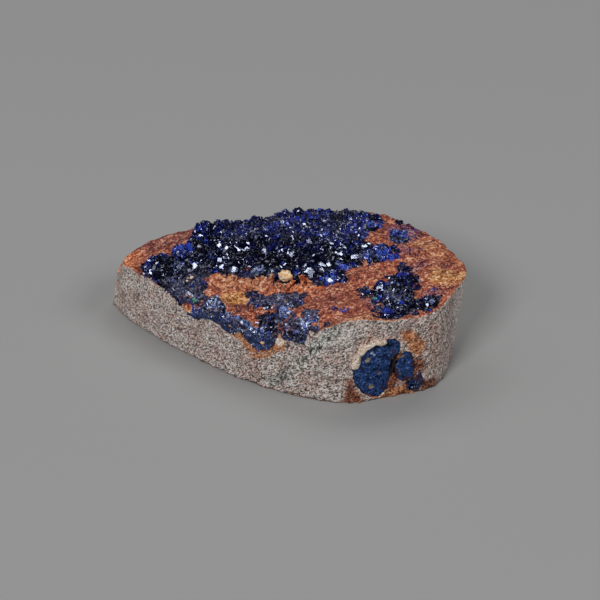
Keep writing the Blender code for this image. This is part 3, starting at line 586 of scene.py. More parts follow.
# Broad crystals that glitter in the front light: plan place and size.
BROAD_CRYSTALS = (
    (-0.4, 12.6, 0.8), (2.9, 9.8, 0.75), (2.9, 9.0, 0.7), (9.8, 12.4, 0.8), (9.9, 9.5, 0.7),
    (1.2, 5.4, 0.8), (3.7, 6.6, 0.5), (3.6, 4.7, 0.8), (5.0, 6.7, 0.6), (6.4, 7.1, 0.7), (4.4, 8.6, 0.5),
    (5.4, 9.4, 0.5), (-5.2, 5.3, 0.7), (-6.7, 4.8, 0.95), (-5.8, 4.8, 0.85), (-2.8, 4.6, 1.0),
    (-2.8, 3.9, 0.7), (-0.1, 4.7, 0.6), (1.2, 2.6, 0.8), (5.2, 2.6, 1.1), (6.1, 2.0, 0.95), (6.5, 3.8, 0.6),
    (7.4, 2.5, 0.6), (5.4, -0.2, 1.0), (6.4, -0.3, 0.9), (3.8, -2.8, 1.35), (5.4, -2.4, 0.8),
    (6.5, -3.6, 0.7), (10.0, 1.7, 1.0), (10.8, 0.6, 0.9), (11.4, 3.6, 0.6), (-3.9, 0.3, 0.8),
    (-2.3, -0.8, 0.7), (-7.0, 0.7, 0.8), (-9.2, 6.8, 0.8), (-8.2, 4.8, 0.7), (-7.8, 7.9, 0.6),
    (-12.1, 9.3, 0.6), (-12.2, 7.0, 0.6), (-12.7, 1.7, 0.9), (-14.8, 1.6, 0.8), (-9.1, 3.2, 0.9),
    (-8.7, 2.2, 0.8), (-10.0, 1.0, 0.7), (-10.3, 4.7, 0.7), (-18.7, 1.6, 0.7), (-10.4, -5.9, 0.4),
    (-9.2, -4.5, 0.5), (-9.0, -5.6, 0.5), (-9.8, -5.0, 0.45), (-9.5, -6.0, 0.4), (-8.6, -6.1, 0.4),
    (-9.6, -3.9, 0.4), (-7.4, -8.3, 0.4), (-5.6, -9.7, 0.5), (-3.9, -11.7, 0.5), (-2.3, -12.3, 0.6),
    (-1.5, -11.4, 0.45), (-0.3, -8.0, 0.5), (0.7, -9.2, 0.5), (1.2, -7.6, 0.5), (2.7, -12.1, 0.6),
    (2.8, -13.6, 0.6), (13.4, -8.0, 0.6), (15.0, -11.6, 0.7), (16.8, -2.6, 0.6), (14.4, -5.6, 0.6),
    (20.0, -11.3, 0.6), (20.6, -9.6, 0.4), (-11.3, 10.1, 0.7), (-5.2, 6.1, 0.6), (-8.2, 1.9, 0.6),
    (5.2, 3.1, 0.9), (6.3, 1.4, 0.9), (3.1, 9.3, 0.8), (3.7, -2.5, 1.1), (-5.5, 14.0, 0.5),
)


def shape_of(mesh):
    """The corners and faces of a mesh, which is freed."""
    mesh.verts.index_update()
    shape = np.array([v.co for v in mesh.verts]), [[v.index for v in f.verts] for f in mesh.faces]
    mesh.free()
    return shape


def make_crystal_shape(draw, broad=False):
    """One azurite crystal about one unit long: a slab with slanting ends and edges, or a broader one."""
    mesh = bmesh.new()
    bmesh.ops.create_cube(mesh, size=1.0)
    if broad:
        bmesh.ops.scale(mesh, vec=(1.0, draw.uniform(0.5, 0.85), 0.4), verts=mesh.verts)
        turns = [math.tau * (i + draw.random()) / BROAD_CUTS for i in range(BROAD_CUTS)]
        cuts = [(math.cos(turn), math.sin(turn), draw.uniform(0.1, 0.5)) for turn in turns]
    else:
        bmesh.ops.scale(mesh, vec=(1.0, draw.uniform(0.25, 0.65), draw.uniform(0.6, 0.95)), verts=mesh.verts)
        cuts = [(end, 0.25 * draw.uniform(-1, 1), draw.uniform(0.35, 1.1)) for end in (-1.0, 1.0)]
        cuts += [(draw.uniform(-0.4, 0.4), side, draw.uniform(0.5, 1.3)) for side in (-1.0, 1.0)]
    for cut in cuts:
        normal = Vector(cut).normalized()
        reach = max(v.co.dot(normal) for v in mesh.verts)
        split = bmesh.ops.bisect_plane(mesh, geom=mesh.verts[:] + mesh.edges[:] + mesh.faces[:],
                                       plane_co=normal * reach * draw.uniform(0.72, 0.92), plane_no=normal,
                                       clear_outer=True)
        rim = [part for part in split["geom_cut"] if isinstance(part, bmesh.types.BMEdge)]
        bmesh.ops.contextual_create(mesh, geom=rim)
    bmesh.ops.recalc_face_normals(mesh, faces=mesh.faces)
    return shape_of(mesh)


def scatter(faces, spacing, tries, draw):
    """Places spread over faces, none nearer another than the spacing, each with its face's normal."""
    areas = [f.calc_area() for f in faces]
    taken = {}
    places = []
    for face in draw.choices(faces, weights=areas, k=tries):
        a, b = draw.random(), draw.random()
        if a + b > 1:
            a, b = 1 - a, 1 - b
        first, second, third = (v.co for v in face.verts)
        place = first + (second - first) * a + (third - first) * b
        cell = tuple(int(c // spacing) for c in place)
        near = (taken.get((cell[0] + i, cell[1] + j, cell[2] + k), ())
                for i in (-1, 0, 1) for j in (-1, 0, 1) for k in (-1, 0, 1))
        if all((place - other).length > spacing for group in near for other in group):
            taken.setdefault(cell, []).append(place)
            places.append((place, face.normal.copy()))
    return places


def turned_at_random(axis, draw):
    """The matrix that turns the Z axis to an axis, and round it by a random angle."""
    turn = axis.to_track_quat("Z", "Y").to_matrix().to_4x4()
    return turn @ Matrix.Rotation(draw.uniform(0, math.tau), 4, "Z")


def crystal_site(place, normal, size, rise, draw):
    """The matrix of one crystal: it grows out of its face and upwards, turned and tilted at random."""
    lean = Vector((draw.gauss(0, 0.45), draw.gauss(0, 0.45), draw.gauss(0, 0.2)))
    axis = (0.6 * normal + Vector((0, 0, 0.6)) + lean).normalized()
    turn = turned_at_random(axis, draw)
    stretch = Matrix.Diagonal((size, size * draw.uniform(0.75, 1.1), size * draw.uniform(0.8, 1.2), 1.0))
    return Matrix.Translation(place + axis * size * rise) @ turn @ stretch


def broad_site(place, size, facing, spread, draw):
    """The matrix of one broad crystal, whose broad face looks one way, give or take a spread."""
    axis = (facing + Vector([draw.gauss(0, spread) for _ in range(3)])).normalized()
    turn = turned_at_random(axis, draw)
    return Matrix.Translation(place) @ turn @ Matrix.Diagonal((size, size, size, 1.0))


def join_copies(copies):
    """Join turned and scaled copies of shapes in one mesh, with a list that says whose each vertex is."""
    corners, faces, owners = [], [], []
    for owner, ((shape_corners, shape_faces), matrix) in enumerate(copies):
        first = len(owners)
        moved = shape_corners @ np.array(matrix)[:3, :3].T + np.array(matrix)[:3, 3]
        corners.extend(moved.tolist())
        faces.extend([[first + corner for corner in face] for face in shape_faces])
        owners.extend([owner] * len(moved))
    data = bpy.data.meshes.new("joined")
    data.from_pydata(corners, [], faces)
    mesh = bmesh.new()
    mesh.from_mesh(data)
    bpy.data.meshes.remove(data)
    return mesh, np.array(owners)


def patch_share(patches, place):
    """How strongly the strongest patch works at a place."""
    share = 0.0
    for x, y, radius, strength in patches:
        way = math.hypot(place.x - x, place.y - y) / radius + 0.5 * noise.noise(place / 1.1)
        share = max(share, strength * float(smooth_step(1.6 - 1.3 * way)))
    return share


def closed_on_stone(name):
    """A crust's own solid, with its underside lowered onto the stone."""
    mesh = copy_of_node(name)
    under = [v for v in mesh.verts if any(f.normal.z < -0.1 for f in v.link_faces)]
    bmesh.ops.translate(mesh, vec=(0, 0, -STONE_GAP), verts=under)
    mesh.normal_update()
    return mesh


def straight_down(tree, x, y):
    """Where a line straight down first meets a surface, and the normal there."""
    return tree.ray_cast(Vector((x, y, ABOVE_ALL)), Vector((0, 0, -1)))[:2]


def on_wall(place):
    """Whether a place lies in the plane of the ground wall."""
    half_way_up = Vector((place.x, place.y, 3.5))
    return stone_tree.find_nearest(half_way_up)[3] < 0.2


def lay_coats(tree, last, tints):
    """Lay coats over a colour, each as thickly as its mask says."""
    for mask, tint in tints.items():
        share = add(tree, "Attribute", attribute_name=mask).outputs["Fac"]
        last = add(tree, "Mix", {0: share, 6: last, 7: tint}, data_type="RGBA").outputs[2]
    return last


def make_azurite_crystals():
    """Azurite crystals: glassy and nearly black, blue only where they are thin, some of them dusty, and some
    painted pale and silvery as a painted sheen.
    """
    material, tree, shader, place = new_material("azurite crystals")
    blue = add(tree, "Attribute", attribute_name="blue")
    dust = add(tree, "Attribute", attribute_name="dust")
    cloud = add(tree, "TexNoise", {"Vector": place, "Scale": 2.6, "Detail": 4.0, "Roughness": 0.7})
    centred = add(tree, "Math", {0: cloud.outputs["Fac"], 1: 0.5}, operation="SUBTRACT")
    lifted = add(tree, "Math", {0: centred.outputs[0], 1: 0.9, 2: blue.outputs["Fac"]},
                 operation="MULTIPLY_ADD")
    depth = add(tree, "ValToRGB", {"Fac": lifted.outputs[0]}, (
        (0.0, "#010106"), (0.25, "#050824"), (0.5, "#121a64"), (0.75, "#2236a8"), (1.0, "#3c5cd8")))
    # The pale_and_sheen coat runs from pale blue to near white: a painted silvery sheen.
    coats = {
        "pale_and_sheen": ("#2c3c70", "#7c98d4", "#ecf4ff"), "dust": ("#0c0e28", "#585a82", "#c4c0d6"),
        "coat": ("#4a3228", "#9c7460", "#dcbca0"),
    }
    tints = tint_ramps(tree, cloud.outputs["Fac"], (0.37, 0.5, 0.63), coats)
    rough = add(tree, "MapRange", {"Value": dust.outputs["Fac"], "To Min": 0.1, "To Max": 0.4})
    tree.links.new(rough.outputs["Result"], shader.inputs["Roughness"])
    settings = {"IOR": 1.76, "Specular Tint": linear("#dce4ff")}
    coated = lay_coats(tree, depth.outputs["Color"], tints)
    dress(tree, shader, coated, settings, (cloud.outputs["Fac"], 0.4, 0.05))
    return material


crystal_draw = random.Random(7)
crystal_shapes = [make_crystal_shape(crystal_draw) for _ in range(CRYSTAL_SHAPES)]
broad_shapes = [make_crystal_shape(crystal_draw, broad=True) for _ in range(BROAD_SHAPES)]
azurite_crystals = make_azurite_crystals()
CRYSTALS, CUT, BARE = range(3)
surfaces = [stone_tree]


def flatten_form(mesh):
    """Smooth away a crust's own coarse crystals and sink it, so that the fine ones reach its tips."""
    refine(mesh, FORM_STEP,
           lambda edge: any(f.normal.z > 0.1 and f.material_index == CRYSTALS for f in edge.link_faces))
    under = {v for f in mesh.faces if f.normal.z < -0.1 or f.material_index == CUT for v in f.verts}
    upper = [v for v in mesh.verts if v not in under]
    soften(mesh, upper, 8)
    for vertex in upper:
        x, y, _ = vertex.co
        swell = sum(rise * float(smooth_step(1.5 - 1.5 * math.hypot(x - a, y - b) / radius))
                    for a, b, radius, rise in FORM_SWELLS)
        vertex.co.z += swell - FORM_SINK
    mesh.normal_update()


def strays(border, count, draw):
    """Places of small crystals that grew on the stone just outside a crust."""
    places = []
    for _ in range(count):
        start = draw.choice(border)
        turn = draw.uniform(0, math.tau)
        way = abs(draw.gauss(0, STRAY_SPREAD))
        at = start.x + way * math.cos(turn), start.y + way * math.sin(turn)
        hit, normal = straight_down(stone_tree, *at)
        if hit and hit.z > 4.0 and normal.z > 0.3 and patch_share(STONE_SHOWING, hit) < 0.3:
            places.append((hit, normal))
    return places


def hanging(mesh, spacing, draw):
    """Places of crystals on the ground azurite, near the rim that it makes with the top."""
    rim = [v.co for v in mesh.verts if {f.material_index for f in v.link_faces} == {CUT, CRYSTALS}]
    cut = [f for f in mesh.faces if f.material_index == CUT]
    places = scatter(cut, spacing, WALL_TRIES, draw) if rim else []
    if not places:
        return []
    shares = stain_masks(np.array([place for place, _ in places]), np.zeros(len(places)))["azurite"]
    kept = []
    for (place, normal), share in zip(places, shares):
        below = min((place - corner).length for corner in rim)
        blue = share > 0.8 or place.y > 0
        if blue and below < OVER_RIM * (1.0 + 1.2 * noise.noise(place / 1.4)):
            kept.append((place, normal))
    return kept


def finish_crystals(copies, shares, name, nodes=(), form_materials=(), form_dust=()):
    """Join the crystals of a piece, and paint on each what it is like and what stains the stone there."""
    joined, owners = join_copies(copies)
    joined.faces.ensure_lookup_table()
    for number, kind in enumerate(form_materials):
        joined.faces[number].material_index = kind
    places = np.array([v.co for v in joined.verts])
    ground = np.zeros(len(places))
    ground[[v.index for f in joined.faces if f.material_index == CUT for v in f.verts]] = 1
    stains = stain_masks(places, 1 - ground)
    stains["azurite"] = np.maximum(stains["azurite"], ground * (places[:, 1] > 0))
    materials = [azurite_crystals, sandstone[GROUND], sandstone[NATURAL]]
    piece = finish_piece(joined, name, materials, nodes)
    for mask, values in shares.items():
        painted = np.array(values)[owners]
        if mask == "dust":
            painted[:len(form_dust)] = form_dust
        paint(piece.data, mask, painted)
    for mask, values in stains.items():
        paint(piece.data, mask, values)


def crystal_look(place, thin, draw, blue=0.03, pale=0.0, dusty=0.1, coated=0.0):
    """How blue, pale with a painted sheen, dusty and coated a crystal is at a place."""
    bright = 0.6 * thin * (0.5 + noise.noise(place / 1.8))
    bright += patch_share(BLUE_PATCHES, place) * draw.uniform(0.3, 1.0)
    bright += draw.uniform(0.3, 0.8) if draw.random() < blue else 0.12 * draw.random()
    # A painted silvery sheen in the pale patches, and on a share of the crystals.
    pale_and_sheen = 0.8 * patch_share(PALE_PATCHES, place) * draw.random()
    pale_and_sheen += draw.uniform(0.4, 1.0) if draw.random() < pale else 0.0
    dust = max(0.0, dusty * (0.3 + 0.9 * noise.noise(place / 3.0 + Vector((9, 4, 1)))))
    dust += patch_share(DUSTY_PATCHES, place) * draw.choice((0.2, 0.6, 1.2))
    coat = draw.uniform(0.5, 1.0) if draw.random() < coated * (1 - thin) else 0.0
    return [min(1.0, max(0.0, value)) for value in (bright, pale_and_sheen, dust, coat)]


def make_crust(node, spacing, sizes, seed, glitter=0.012, **look):
    """A crust of crystals on its node's own form, thin and bright blue along its border."""
    draw = random.Random(seed)
    small, large = sizes
    mesh = closed_on_stone(node)
    for face in mesh.faces:
        upright = abs(face.normal.z) < 0.1
        face.material_index = CUT if upright and on_wall(face.calc_center_median()) else CRYSTALS
    border = [v.co.copy() for v in mesh.verts if any(f.normal.z < -0.1 for f in v.link_faces)
              and any(f.normal.z > 0.1 for f in v.link_faces)]
    flatten_form(mesh)
    refine(mesh, CUT_STEP, lambda edge: any(f.material_index == CUT for f in edge.link_faces))
    edge_tree = KDTree(len(border))
    for number, corner in enumerate(border):
        edge_tree.insert((corner.x, corner.y, 0.0), number)
    edge_tree.balance()
    form_tree = BVHTree.FromBMesh(mesh)
    surfaces.append(form_tree)
    upper = [f for f in mesh.faces if f.normal.z > 0.0 and f.material_index == CRYSTALS]
    sites = [(place, normal, 1.0) for place, normal in scatter(upper, spacing, CRUST_TRIES, draw)
             if edge_tree.find((place.x, place.y, 0.0))[2] > BARE_BORDER
             and patch_share(STONE_SHOWING, place) < BARE_SITE]
    sites += [(place, normal, 0.8) for place, normal in strays(border, len(border) // 4, draw)]
    sites += [(place, normal, 0.8) for place, normal in hanging(mesh, spacing, draw)]
    for face in mesh.faces:
        showing = patch_share(STONE_SHOWING, face.calc_center_median())
        if face.material_index == CRYSTALS and showing > BARE_FACE:
            face.material_index = BARE
    form_materials = [f.material_index for f in mesh.faces]
    form = shape_of(mesh)
    form_dust = [max(0.3 * look["dusty"], min(0.5, patch_share(DUSTY_PATCHES, Vector(corner))))
                 for corner in form[0]]
    copies, looks = [(form, Matrix.Identity(4))], [(0.15, 0.0, 0.0, 0.0)]
    for place, normal, share in sites:
        thin = max(0.0, 1 - edge_tree.find((place.x, place.y, 0.0))[2] / THIN_EDGE) * share
        looks.append(crystal_look(place, thin, draw, **look))
        dust = looks[-1][2]
        size = min(large, small * math.exp(abs(draw.gauss(0, 0.4))))
        size = size * (1 - 0.2 * thin) * (1 - 0.3 * dust) * share
        if share == 1.0 and draw.random() < glitter:
            copies.append((draw.choice(broad_shapes), broad_site(place, size, TO_THE_LIGHT, 0.05, draw)))
        else:
            rise = draw.uniform(*CRYSTAL_RISE) - 0.1 * dust
            copies.append((draw.choice(crystal_shapes), crystal_site(place, normal, size, rise, draw)))
    # The pale crystals are painted pale and silvery: a painted sheen.
    by_hand = (
        (BROAD_CRYSTALS, TO_THE_LIGHT, 0.05, lambda: (0.1 + 0.3 * draw.random(), 0.0, 0.0, 0.0)),
        (PALE_CRYSTALS, PALE_FACING, 0.3, lambda: (0.8, draw.uniform(0.4, 1.0), 0.0, 0.0)),
    )
    for crystals, facing, spread, draw_look in by_hand:
        for x, y, size in crystals:
            place = straight_down(form_tree, x, y)[0]
            if place and patch_share(STONE_SHOWING, place) < BARE_SITE:
                looks.append(draw_look())
                copies.append((draw.choice(broad_shapes), broad_site(place, size, facing, spread, draw)))
    shares = dict(zip(("blue", "pale_and_sheen", "dust", "coat"), zip(*looks)))
    finish_crystals(copies, shares, node + "_crystals", [node], form_materials, form_dust)


make_crust("druse_main", 0.228, (0.31, 0.75), 31, dusty=0.03)


# The smaller crusts: the same azurite in patches over the front and right of the top.
# Their crystals are finer than the main druse's and partly dusted with limonite,
# and where two of them reach the wall they are ground off flush with it.
make_crust("crust_front_left", 0.24, (0.3, 0.75), 32, 0.06, blue=0.2, pale=0.16, dusty=0.5, coated=0.1)
make_crust("crust_middle", 0.24, (0.3, 0.7), 33, 0.03, blue=0.2, pale=0.2, dusty=0.4, coated=0.03)
make_crust("crust_front_middle", 0.24, (0.3, 0.75), 34, 0.05, blue=0.15, pale=0.25, dusty=0.6, coated=0.3)
make_crust("crust_right", 0.24, (0.33, 0.8), 35, 0.02, blue=0.1, pale=0.02, dusty=0.06)
make_crust("crust_right_edge", 0.24, (0.33, 0.8), 36, 0.03, blue=0.08, pale=0.03, dusty=0.05)
make_crust("crust_back_right", 0.24, (0.28, 0.5), 37, 0.0, blue=0.6, pale=0.3, dusty=0.6, coated=0.03)


# Azurite flecks: single small crystals and thin coats of them on the bare stone around the crusts.
# Each group has its crystals' size, how blue they are, and its patches: plan place and radius.
FLECKS = (
    # Along the back rim, behind the main druse and at its right end.
    (0.65, 0.25, ((5.4, 15.9, 0.8), (6.6, 15.6, 0.9), (7.8, 15.5, 0.9), (9.0, 15.4, 0.9), (10.2, 15.2, 0.9),
        (11.4, 14.9, 0.8), (12.4, 14.2, 0.8), (13.4, 13.2, 0.7), (7.0, 14.4, 0.8), (8.4, 14.7, 0.8),
        (9.8, 14.4, 0.8), (11.2, 14.0, 0.8), (-5.8, 14.8, 0.5), (-11.2, 10.9, 0.4), (16.8, 11.6, 0.5))),
    (0.45, 0.4, ((13.7, 12.6, 0.5), (14.2, 11.8, 0.5), (13.9, 10.8, 0.5), (11.9, 7.8, 0.4),
        (12.5, 5.3, 0.4), (15.4, 3.2, 0.5), (15.9, 2.3, 0.5), (15.8, 1.0, 0.5), (15.1, 0.6, 0.5))),
    # Along the front border of the main druse, from its tongue to the strip on the right.
    (0.4, 0.2, ((-19.0, 0.8, 0.4), (-18.4, 0.3, 0.4), (-17.8, -0.2, 0.4), (-16.9, -1.8, 0.7),
        (-16.0, -2.4, 0.8), (-15.2, -3.0, 0.7), (-14.4, -3.3, 0.6), (-13.6, -3.1, 0.5), (-12.7, -3.3, 0.5),
        (-11.2, -0.6, 0.5), (-11.0, -2.4, 0.5), (-10.7, -4.2, 0.5), (-10.9, -3.2, 0.5), (-10.3, -2.9, 0.5),
        (-9.7, -3.2, 0.5))),
    (0.5, 0.4, ((-10.1, 1.7, 0.6), (-9.4, 1.9, 0.6), (-8.5, 1.6, 0.6), (-6.0, 1.1, 0.6), (-5.4, 0.9, 0.6),
        (-4.7, 1.0, 0.5))),
    (0.45, 0.25, ((4.4, -3.6, 0.45), (5.1, -4.0, 0.5), (5.8, -4.2, 0.45))),
    # Around the middle lobes, and on to the front rim.
    (0.45, 0.05, ((-4.8, -2.2, 0.6), (-4.1, -2.0, 0.6), (-3.2, -3.0, 0.6), (-2.4, -3.8, 0.6),
        (-2.5, -5.1, 0.5), (-1.5, -3.7, 0.5), (-0.7, -3.8, 0.6), (0.4, -4.0, 0.6), (1.5, -4.4, 0.6),
        (2.5, -4.9, 0.5), (3.0, -5.2, 0.4), (2.0, -5.4, 0.5))),
    (0.5, 0.15, ((-2.3, -7.3, 0.6), (-1.5, -8.3, 0.7), (-0.6, -9.2, 0.6), (-2.4, -8.8, 0.7),
        (-1.4, -10.0, 0.6), (-1.3, -11.0, 0.5), (-3.3, -7.4, 0.35))),
    (0.4, 0.1, ((3.0, -9.6, 0.5), (3.7, -10.1, 0.6), (4.4, -10.5, 0.5), (4.0, -11.2, 0.6),
        (4.6, -11.8, 0.5), (3.2, -12.0, 0.5), (3.6, -14.3, 0.4), (3.6, -15.2, 0.3), (-12.8, -5.8, 0.5))),
    (0.4, 0.1, ((1.0, -10.4, 0.6), (1.6, -11.2, 0.5), (0.5, -11.3, 0.6), (0.0, -10.5, 0.5),
        (2.2, -10.6, 0.5), (-0.6, -11.8, 0.5), (1.4, -9.5, 0.4), (-2.9, -8.0, 0.5))),
    # Around the crusts on the right.
    (0.4, 0.25, ((16.5, -1.4, 0.7), (17.3, -2.0, 0.7), (16.7, -0.5, 0.5), (17.6, -3.4, 0.5),
        (18.2, -4.6, 0.5), (18.3, -5.8, 0.5), (18.3, -7.1, 0.5), (14.4, -3.3, 0.5), (15.0, -4.2, 0.4))),
    (0.4, 0.15, ((17.4, -11.3, 0.6), (18.3, -10.5, 0.5), (19.0, -10.8, 0.6), (18.3, -11.6, 0.6),
        (17.6, -12.8, 0.6), (18.9, -12.2, 0.5), (19.6, -12.3, 0.4), (20.3, -11.8, 0.4), (20.3, -10.0, 0.4),
        (21.1, -10.2, 0.4))),
    (0.4, 0.2, ((8.4, -3.6, 0.5), (11.3, -5.9, 0.5), (10.6, -6.3, 0.5), (11.3, -7.4, 0.4),
        (12.4, -10.5, 0.5), (12.7, -11.7, 0.5), (12.2, -12.8, 0.5), (12.4, -14.6, 0.5), (13.4, -14.4, 0.5),
        (14.3, -14.3, 0.4), (15.2, -14.3, 0.4), (12.3, -9.9, 0.4))),
    # Single ones on the bare stone.
    (0.36, 0.8, ((6.7, -10.2, 0.4), (7.1, -10.8, 0.4), (7.9, -11.6, 0.4), (8.4, -12.0, 0.4),
        (-2.2, -8.6, 0.6))),
    (0.25, 0.3, ((17.8, 2.0, 0.7), (19.2, 1.6, 0.5), (18.4, 0.7, 0.5), (19.1, -1.7, 0.5), (23.0, -1.9, 0.4),
        (20.7, -8.2, 0.9), (19.0, 7.4, 0.8), (15.8, 8.0, 0.7), (17.6, 9.8, 0.8), (17.0, 5.8, 0.7),
        (18.6, 8.8, 0.7))),
)
FLECK_SPACING = 0.26
COATED_SIZE = 0.38       # flecks larger than this have fine azurite between them


def crusted_share(places):
    """How thickly fine azurite coats the stone between the flecks, at each place."""
    share = np.zeros(len(places))
    ragged = 0.2 * waves(places, 0.8, 3, 6.0)
    for size, _, patches in FLECKS:
        for x, y, radius in patches:
            way = np.hypot(places[:, 0] - x, places[:, 1] - y) / radius + ragged
            share = np.maximum(share, (size > COATED_SIZE) * smooth_step(3.0 * (1.2 - way)))
    return share


def make_flecks():
    """Small crystals strewn in patches over the stone and the crusts."""
    draw = random.Random(38)
    copies, looks = [], []
    for size, blue, patches in FLECKS:
        for x, y, radius in patches:
            placed = []
            for _ in range(int(120 * radius ** 2) + 6):
                turn, way = draw.uniform(0, math.tau), radius * math.sqrt(draw.random())
                at = x + way * math.cos(turn), y + way * math.sin(turn)
                hits = [hit for hit in (straight_down(tree, *at) for tree in surfaces) if hit[0]]
                place, normal = max(hits, key=lambda hit: hit[0].z, default=(None, None))
                if not place or normal.z < 0.3 or patch_share(STONE_SHOWING, place) > BARE_SITE:
                    continue
                if any((place - other).length < FLECK_SPACING for other in placed):
                    continue
                placed.append(place)
                look = crystal_look(place, 0.0, draw)
                bright = min(1.0, look[0] + blue * draw.uniform(0.4, 1.2))
                looks.append([bright, 0.4 * look[1], look[2], look[3]])
                grown = size * draw.uniform(0.55, 1.2)
                copies.append((draw.choice(crystal_shapes), crystal_site(place, normal, grown, 0.0, draw)))
    shares = dict(zip(("blue", "pale_and_sheen", "dust", "coat"), zip(*looks)))
    finish_crystals(copies, shares, "azurite_flecks")


paint(stone.data, "crusted", crusted_share(stone_places))
make_flecks()


# The azurite ball: one small round growth near the front rim, dark blue in a rust-brown ring.
BALL = (5.9, -14.8, 0.42)

ball_mesh = bmesh.new()
bmesh.ops.create_icosphere(ball_mesh, subdivisions=4, radius=BALL[2])
ball_foot = straight_down(stone_tree, BALL[0], BALL[1])[0]
bmesh.ops.translate(ball_mesh, vec=ball_foot + Vector((0, 0, 0.3 * BALL[2])), verts=ball_mesh.verts)
ball_mesh.normal_update()
ball_places = np.array([v.co for v in ball_mesh.verts])
for vertex, swell in zip(ball_mesh.verts, 0.3 * BALL[2] * waves(ball_places, 0.35, 3)):
    vertex.co += vertex.normal * float(swell)
ball = finish_piece(ball_mesh, "azurite_ball", [azurite_crystals])
paint(ball.data, "blue", np.full(len(ball_places), 0.3))


# The malachite: green copper carbonate, in two tiny clusters of beads where the azurite has altered.
MALACHITE_CLUSTERS = ((12.4, -9.2), (-12.5, -3.0))
BEADS = 9                # beads in a cluster
BEAD_SIZE = (0.13, 0.26)  # radius of the smallest and the largest bead
CLUSTER_SIZE = 0.32      # how far the beads lie from the middle


def make_malachite():
    """Malachite: silky blue-green beads, darker between them."""
    material, tree, shader, place = new_material("malachite beads")
    cloud = add(tree, "TexNoise", {"Vector": place, "Scale": 4.0, "Detail": 3.0, "Roughness": 0.6})
    colour = add(tree, "ValToRGB", {"Fac": cloud.outputs["Fac"]}, (
        (0.36, "#08383a"), (0.5, "#248478"), (0.64, "#98e4cc")))
    dress(tree, shader, colour.outputs["Color"], {"Roughness": 0.3, "IOR": 1.85})
    return material


def ball_shape(subdivisions):
    """A ball with a radius of one unit."""
    mesh = bmesh.new()
    bmesh.ops.create_icosphere(mesh, subdivisions=subdivisions, radius=1.0)
    return shape_of(mesh)


def make_beads():
    """The beads of both clusters, heaped over the stone."""
    draw = random.Random(39)
    shape = ball_shape(2)
    copies = []
    for x, y in MALACHITE_CLUSTERS:
        for _ in range(BEADS):
            at = x + draw.gauss(0, 0.6) * CLUSTER_SIZE, y + draw.gauss(0, 0.6) * CLUSTER_SIZE
            place = straight_down(stone_tree, *at)[0]
            place.z += draw.uniform(0.0, 0.3)
            copies.append((shape, Matrix.Translation(place) @ Matrix.Scale(draw.uniform(*BEAD_SIZE), 4)))
    beads = finish_piece(join_copies(copies)[0], "malachite_beads", [make_malachite()])
    beads.data.shade_smooth()


make_beads()


# The dense azurite: three masses that filled hollows in the sandstone, now ground through with the wall.
# Too fine-grained to sparkle, it is a matte blue, pitted and flecked with tan limonite.
NODULE_STEP = 0.25       # longest edge of the finished surface
NODULE_GROWTH = 0.15     # how far the mass goes on towards the stone
NODULE_RELIEF = 0.25     # height of its lumps
NODULE_PITS = 0.4        # depth of its pits

# The shaded_pore tint is near black: painted shade in the pits of the masses.
SPOT_TINTS = {"crumb": "#a08c68", "fleck": "#c0cce8", "shaded_pore": "#050404", "rust": "#3e1a10"}

# Crumbs of limonite, pale flecks, open pores painted near black as painted shade, and rust in the masses:
# place along X, height, radius.
NODULE_SPOTS = (
    ("crumb", 11.3, 6.9, 0.32), ("crumb", 11.9, 2.5, 0.32), ("crumb", 12.9, 4.5, 0.2),
    ("crumb", 16.2, 6.6, 0.2), ("fleck", 11.9, 7.9, 0.24), ("fleck", 15.1, 5.7, 0.3),
    ("fleck", 15.7, 3.7, 0.22), ("fleck", 12.3, 7.4, 0.14), ("shaded_pore", 12.4, 5.1, 0.34),
    ("shaded_pore", 13.2, 4.7, 0.26), ("shaded_pore", 12.6, 3.9, 0.2), ("shaded_pore", 13.6, 7.1, 0.2), ("shaded_pore", 13.1, 8.9, 0.4),
    ("shaded_pore", 13.8, 8.9, 0.42), ("shaded_pore", 14.5, 8.5, 0.32), ("shaded_pore", 15.1, 6.5, 0.36),
    ("rust", 14.8, 7.6, 0.3), ("rust", 14.7, 6.6, 0.3), ("rust", 14.7, 5.6, 0.3), ("rust", 14.6, 4.6, 0.3),
    ("rust", 14.5, 3.6, 0.3), ("rust", 14.2, 2.6, 0.3), ("rust", 13.7, 1.7, 0.3), ("rust", 15.1, 4.4, 0.5),
    ("rust", 15.5, 3.6, 0.4), ("rust", 17.6, 5.0, 0.35), ("rust", 17.4, 6.6, 0.3), ("rust", 16.8, 2.6, 0.6),
    ("rust", 18.4, 2.6, 0.5), ("rust", 17.6, 2.8, 0.4), ("rust", 16.3, 1.8, 0.4), ("rust", 18.9, 1.8, 0.35),
)


def make_dense_azurite():
    """Dense azurite: earthy and matte, mid blue with pores painted near black as shade, and a few specks of
    limonite.
    """
    material, tree, shader, place = new_material("dense azurite")
    fine = add(tree, "TexNoise", {"Vector": place, "Scale": 3.6, "Detail": 5.0, "Roughness": 0.75})
    colour = add(tree, "ValToRGB", {"Fac": fine.outputs["Fac"]}, (
        (0.38, "#02030a"), (0.45, "#081a40"), (0.51, "#123068"), (0.57, "#284e8c"), (0.66, "#7c98bc")))
    tints = {spot: linear(tint) for spot, tint in SPOT_TINTS.items()}
    settings = {"Roughness": 0.75, "IOR": 1.73, "Specular Tint": linear("#a0bcff")}
    coated = lay_coats(tree, colour.outputs["Color"], tints)
    dress(tree, shader, coated, settings, (fine.outputs["Fac"], 1.0, 0.1))
    return material


def spot_shares(places):
    """How much of each kind of spot there is at each place of a mass."""
    shares = {kind: np.zeros(len(places)) for kind in SPOT_TINTS}
    ragged = 0.5 * waves(places, 0.35, 3, 11.0)
    for kind, x, z, radius in NODULE_SPOTS:
        way = np.hypot(places[:, 0] - x, places[:, 2] - z) / radius + ragged
        shares[kind] = np.maximum(shares[kind], smooth_step(2.5 * (1.2 - way)))
    return shares


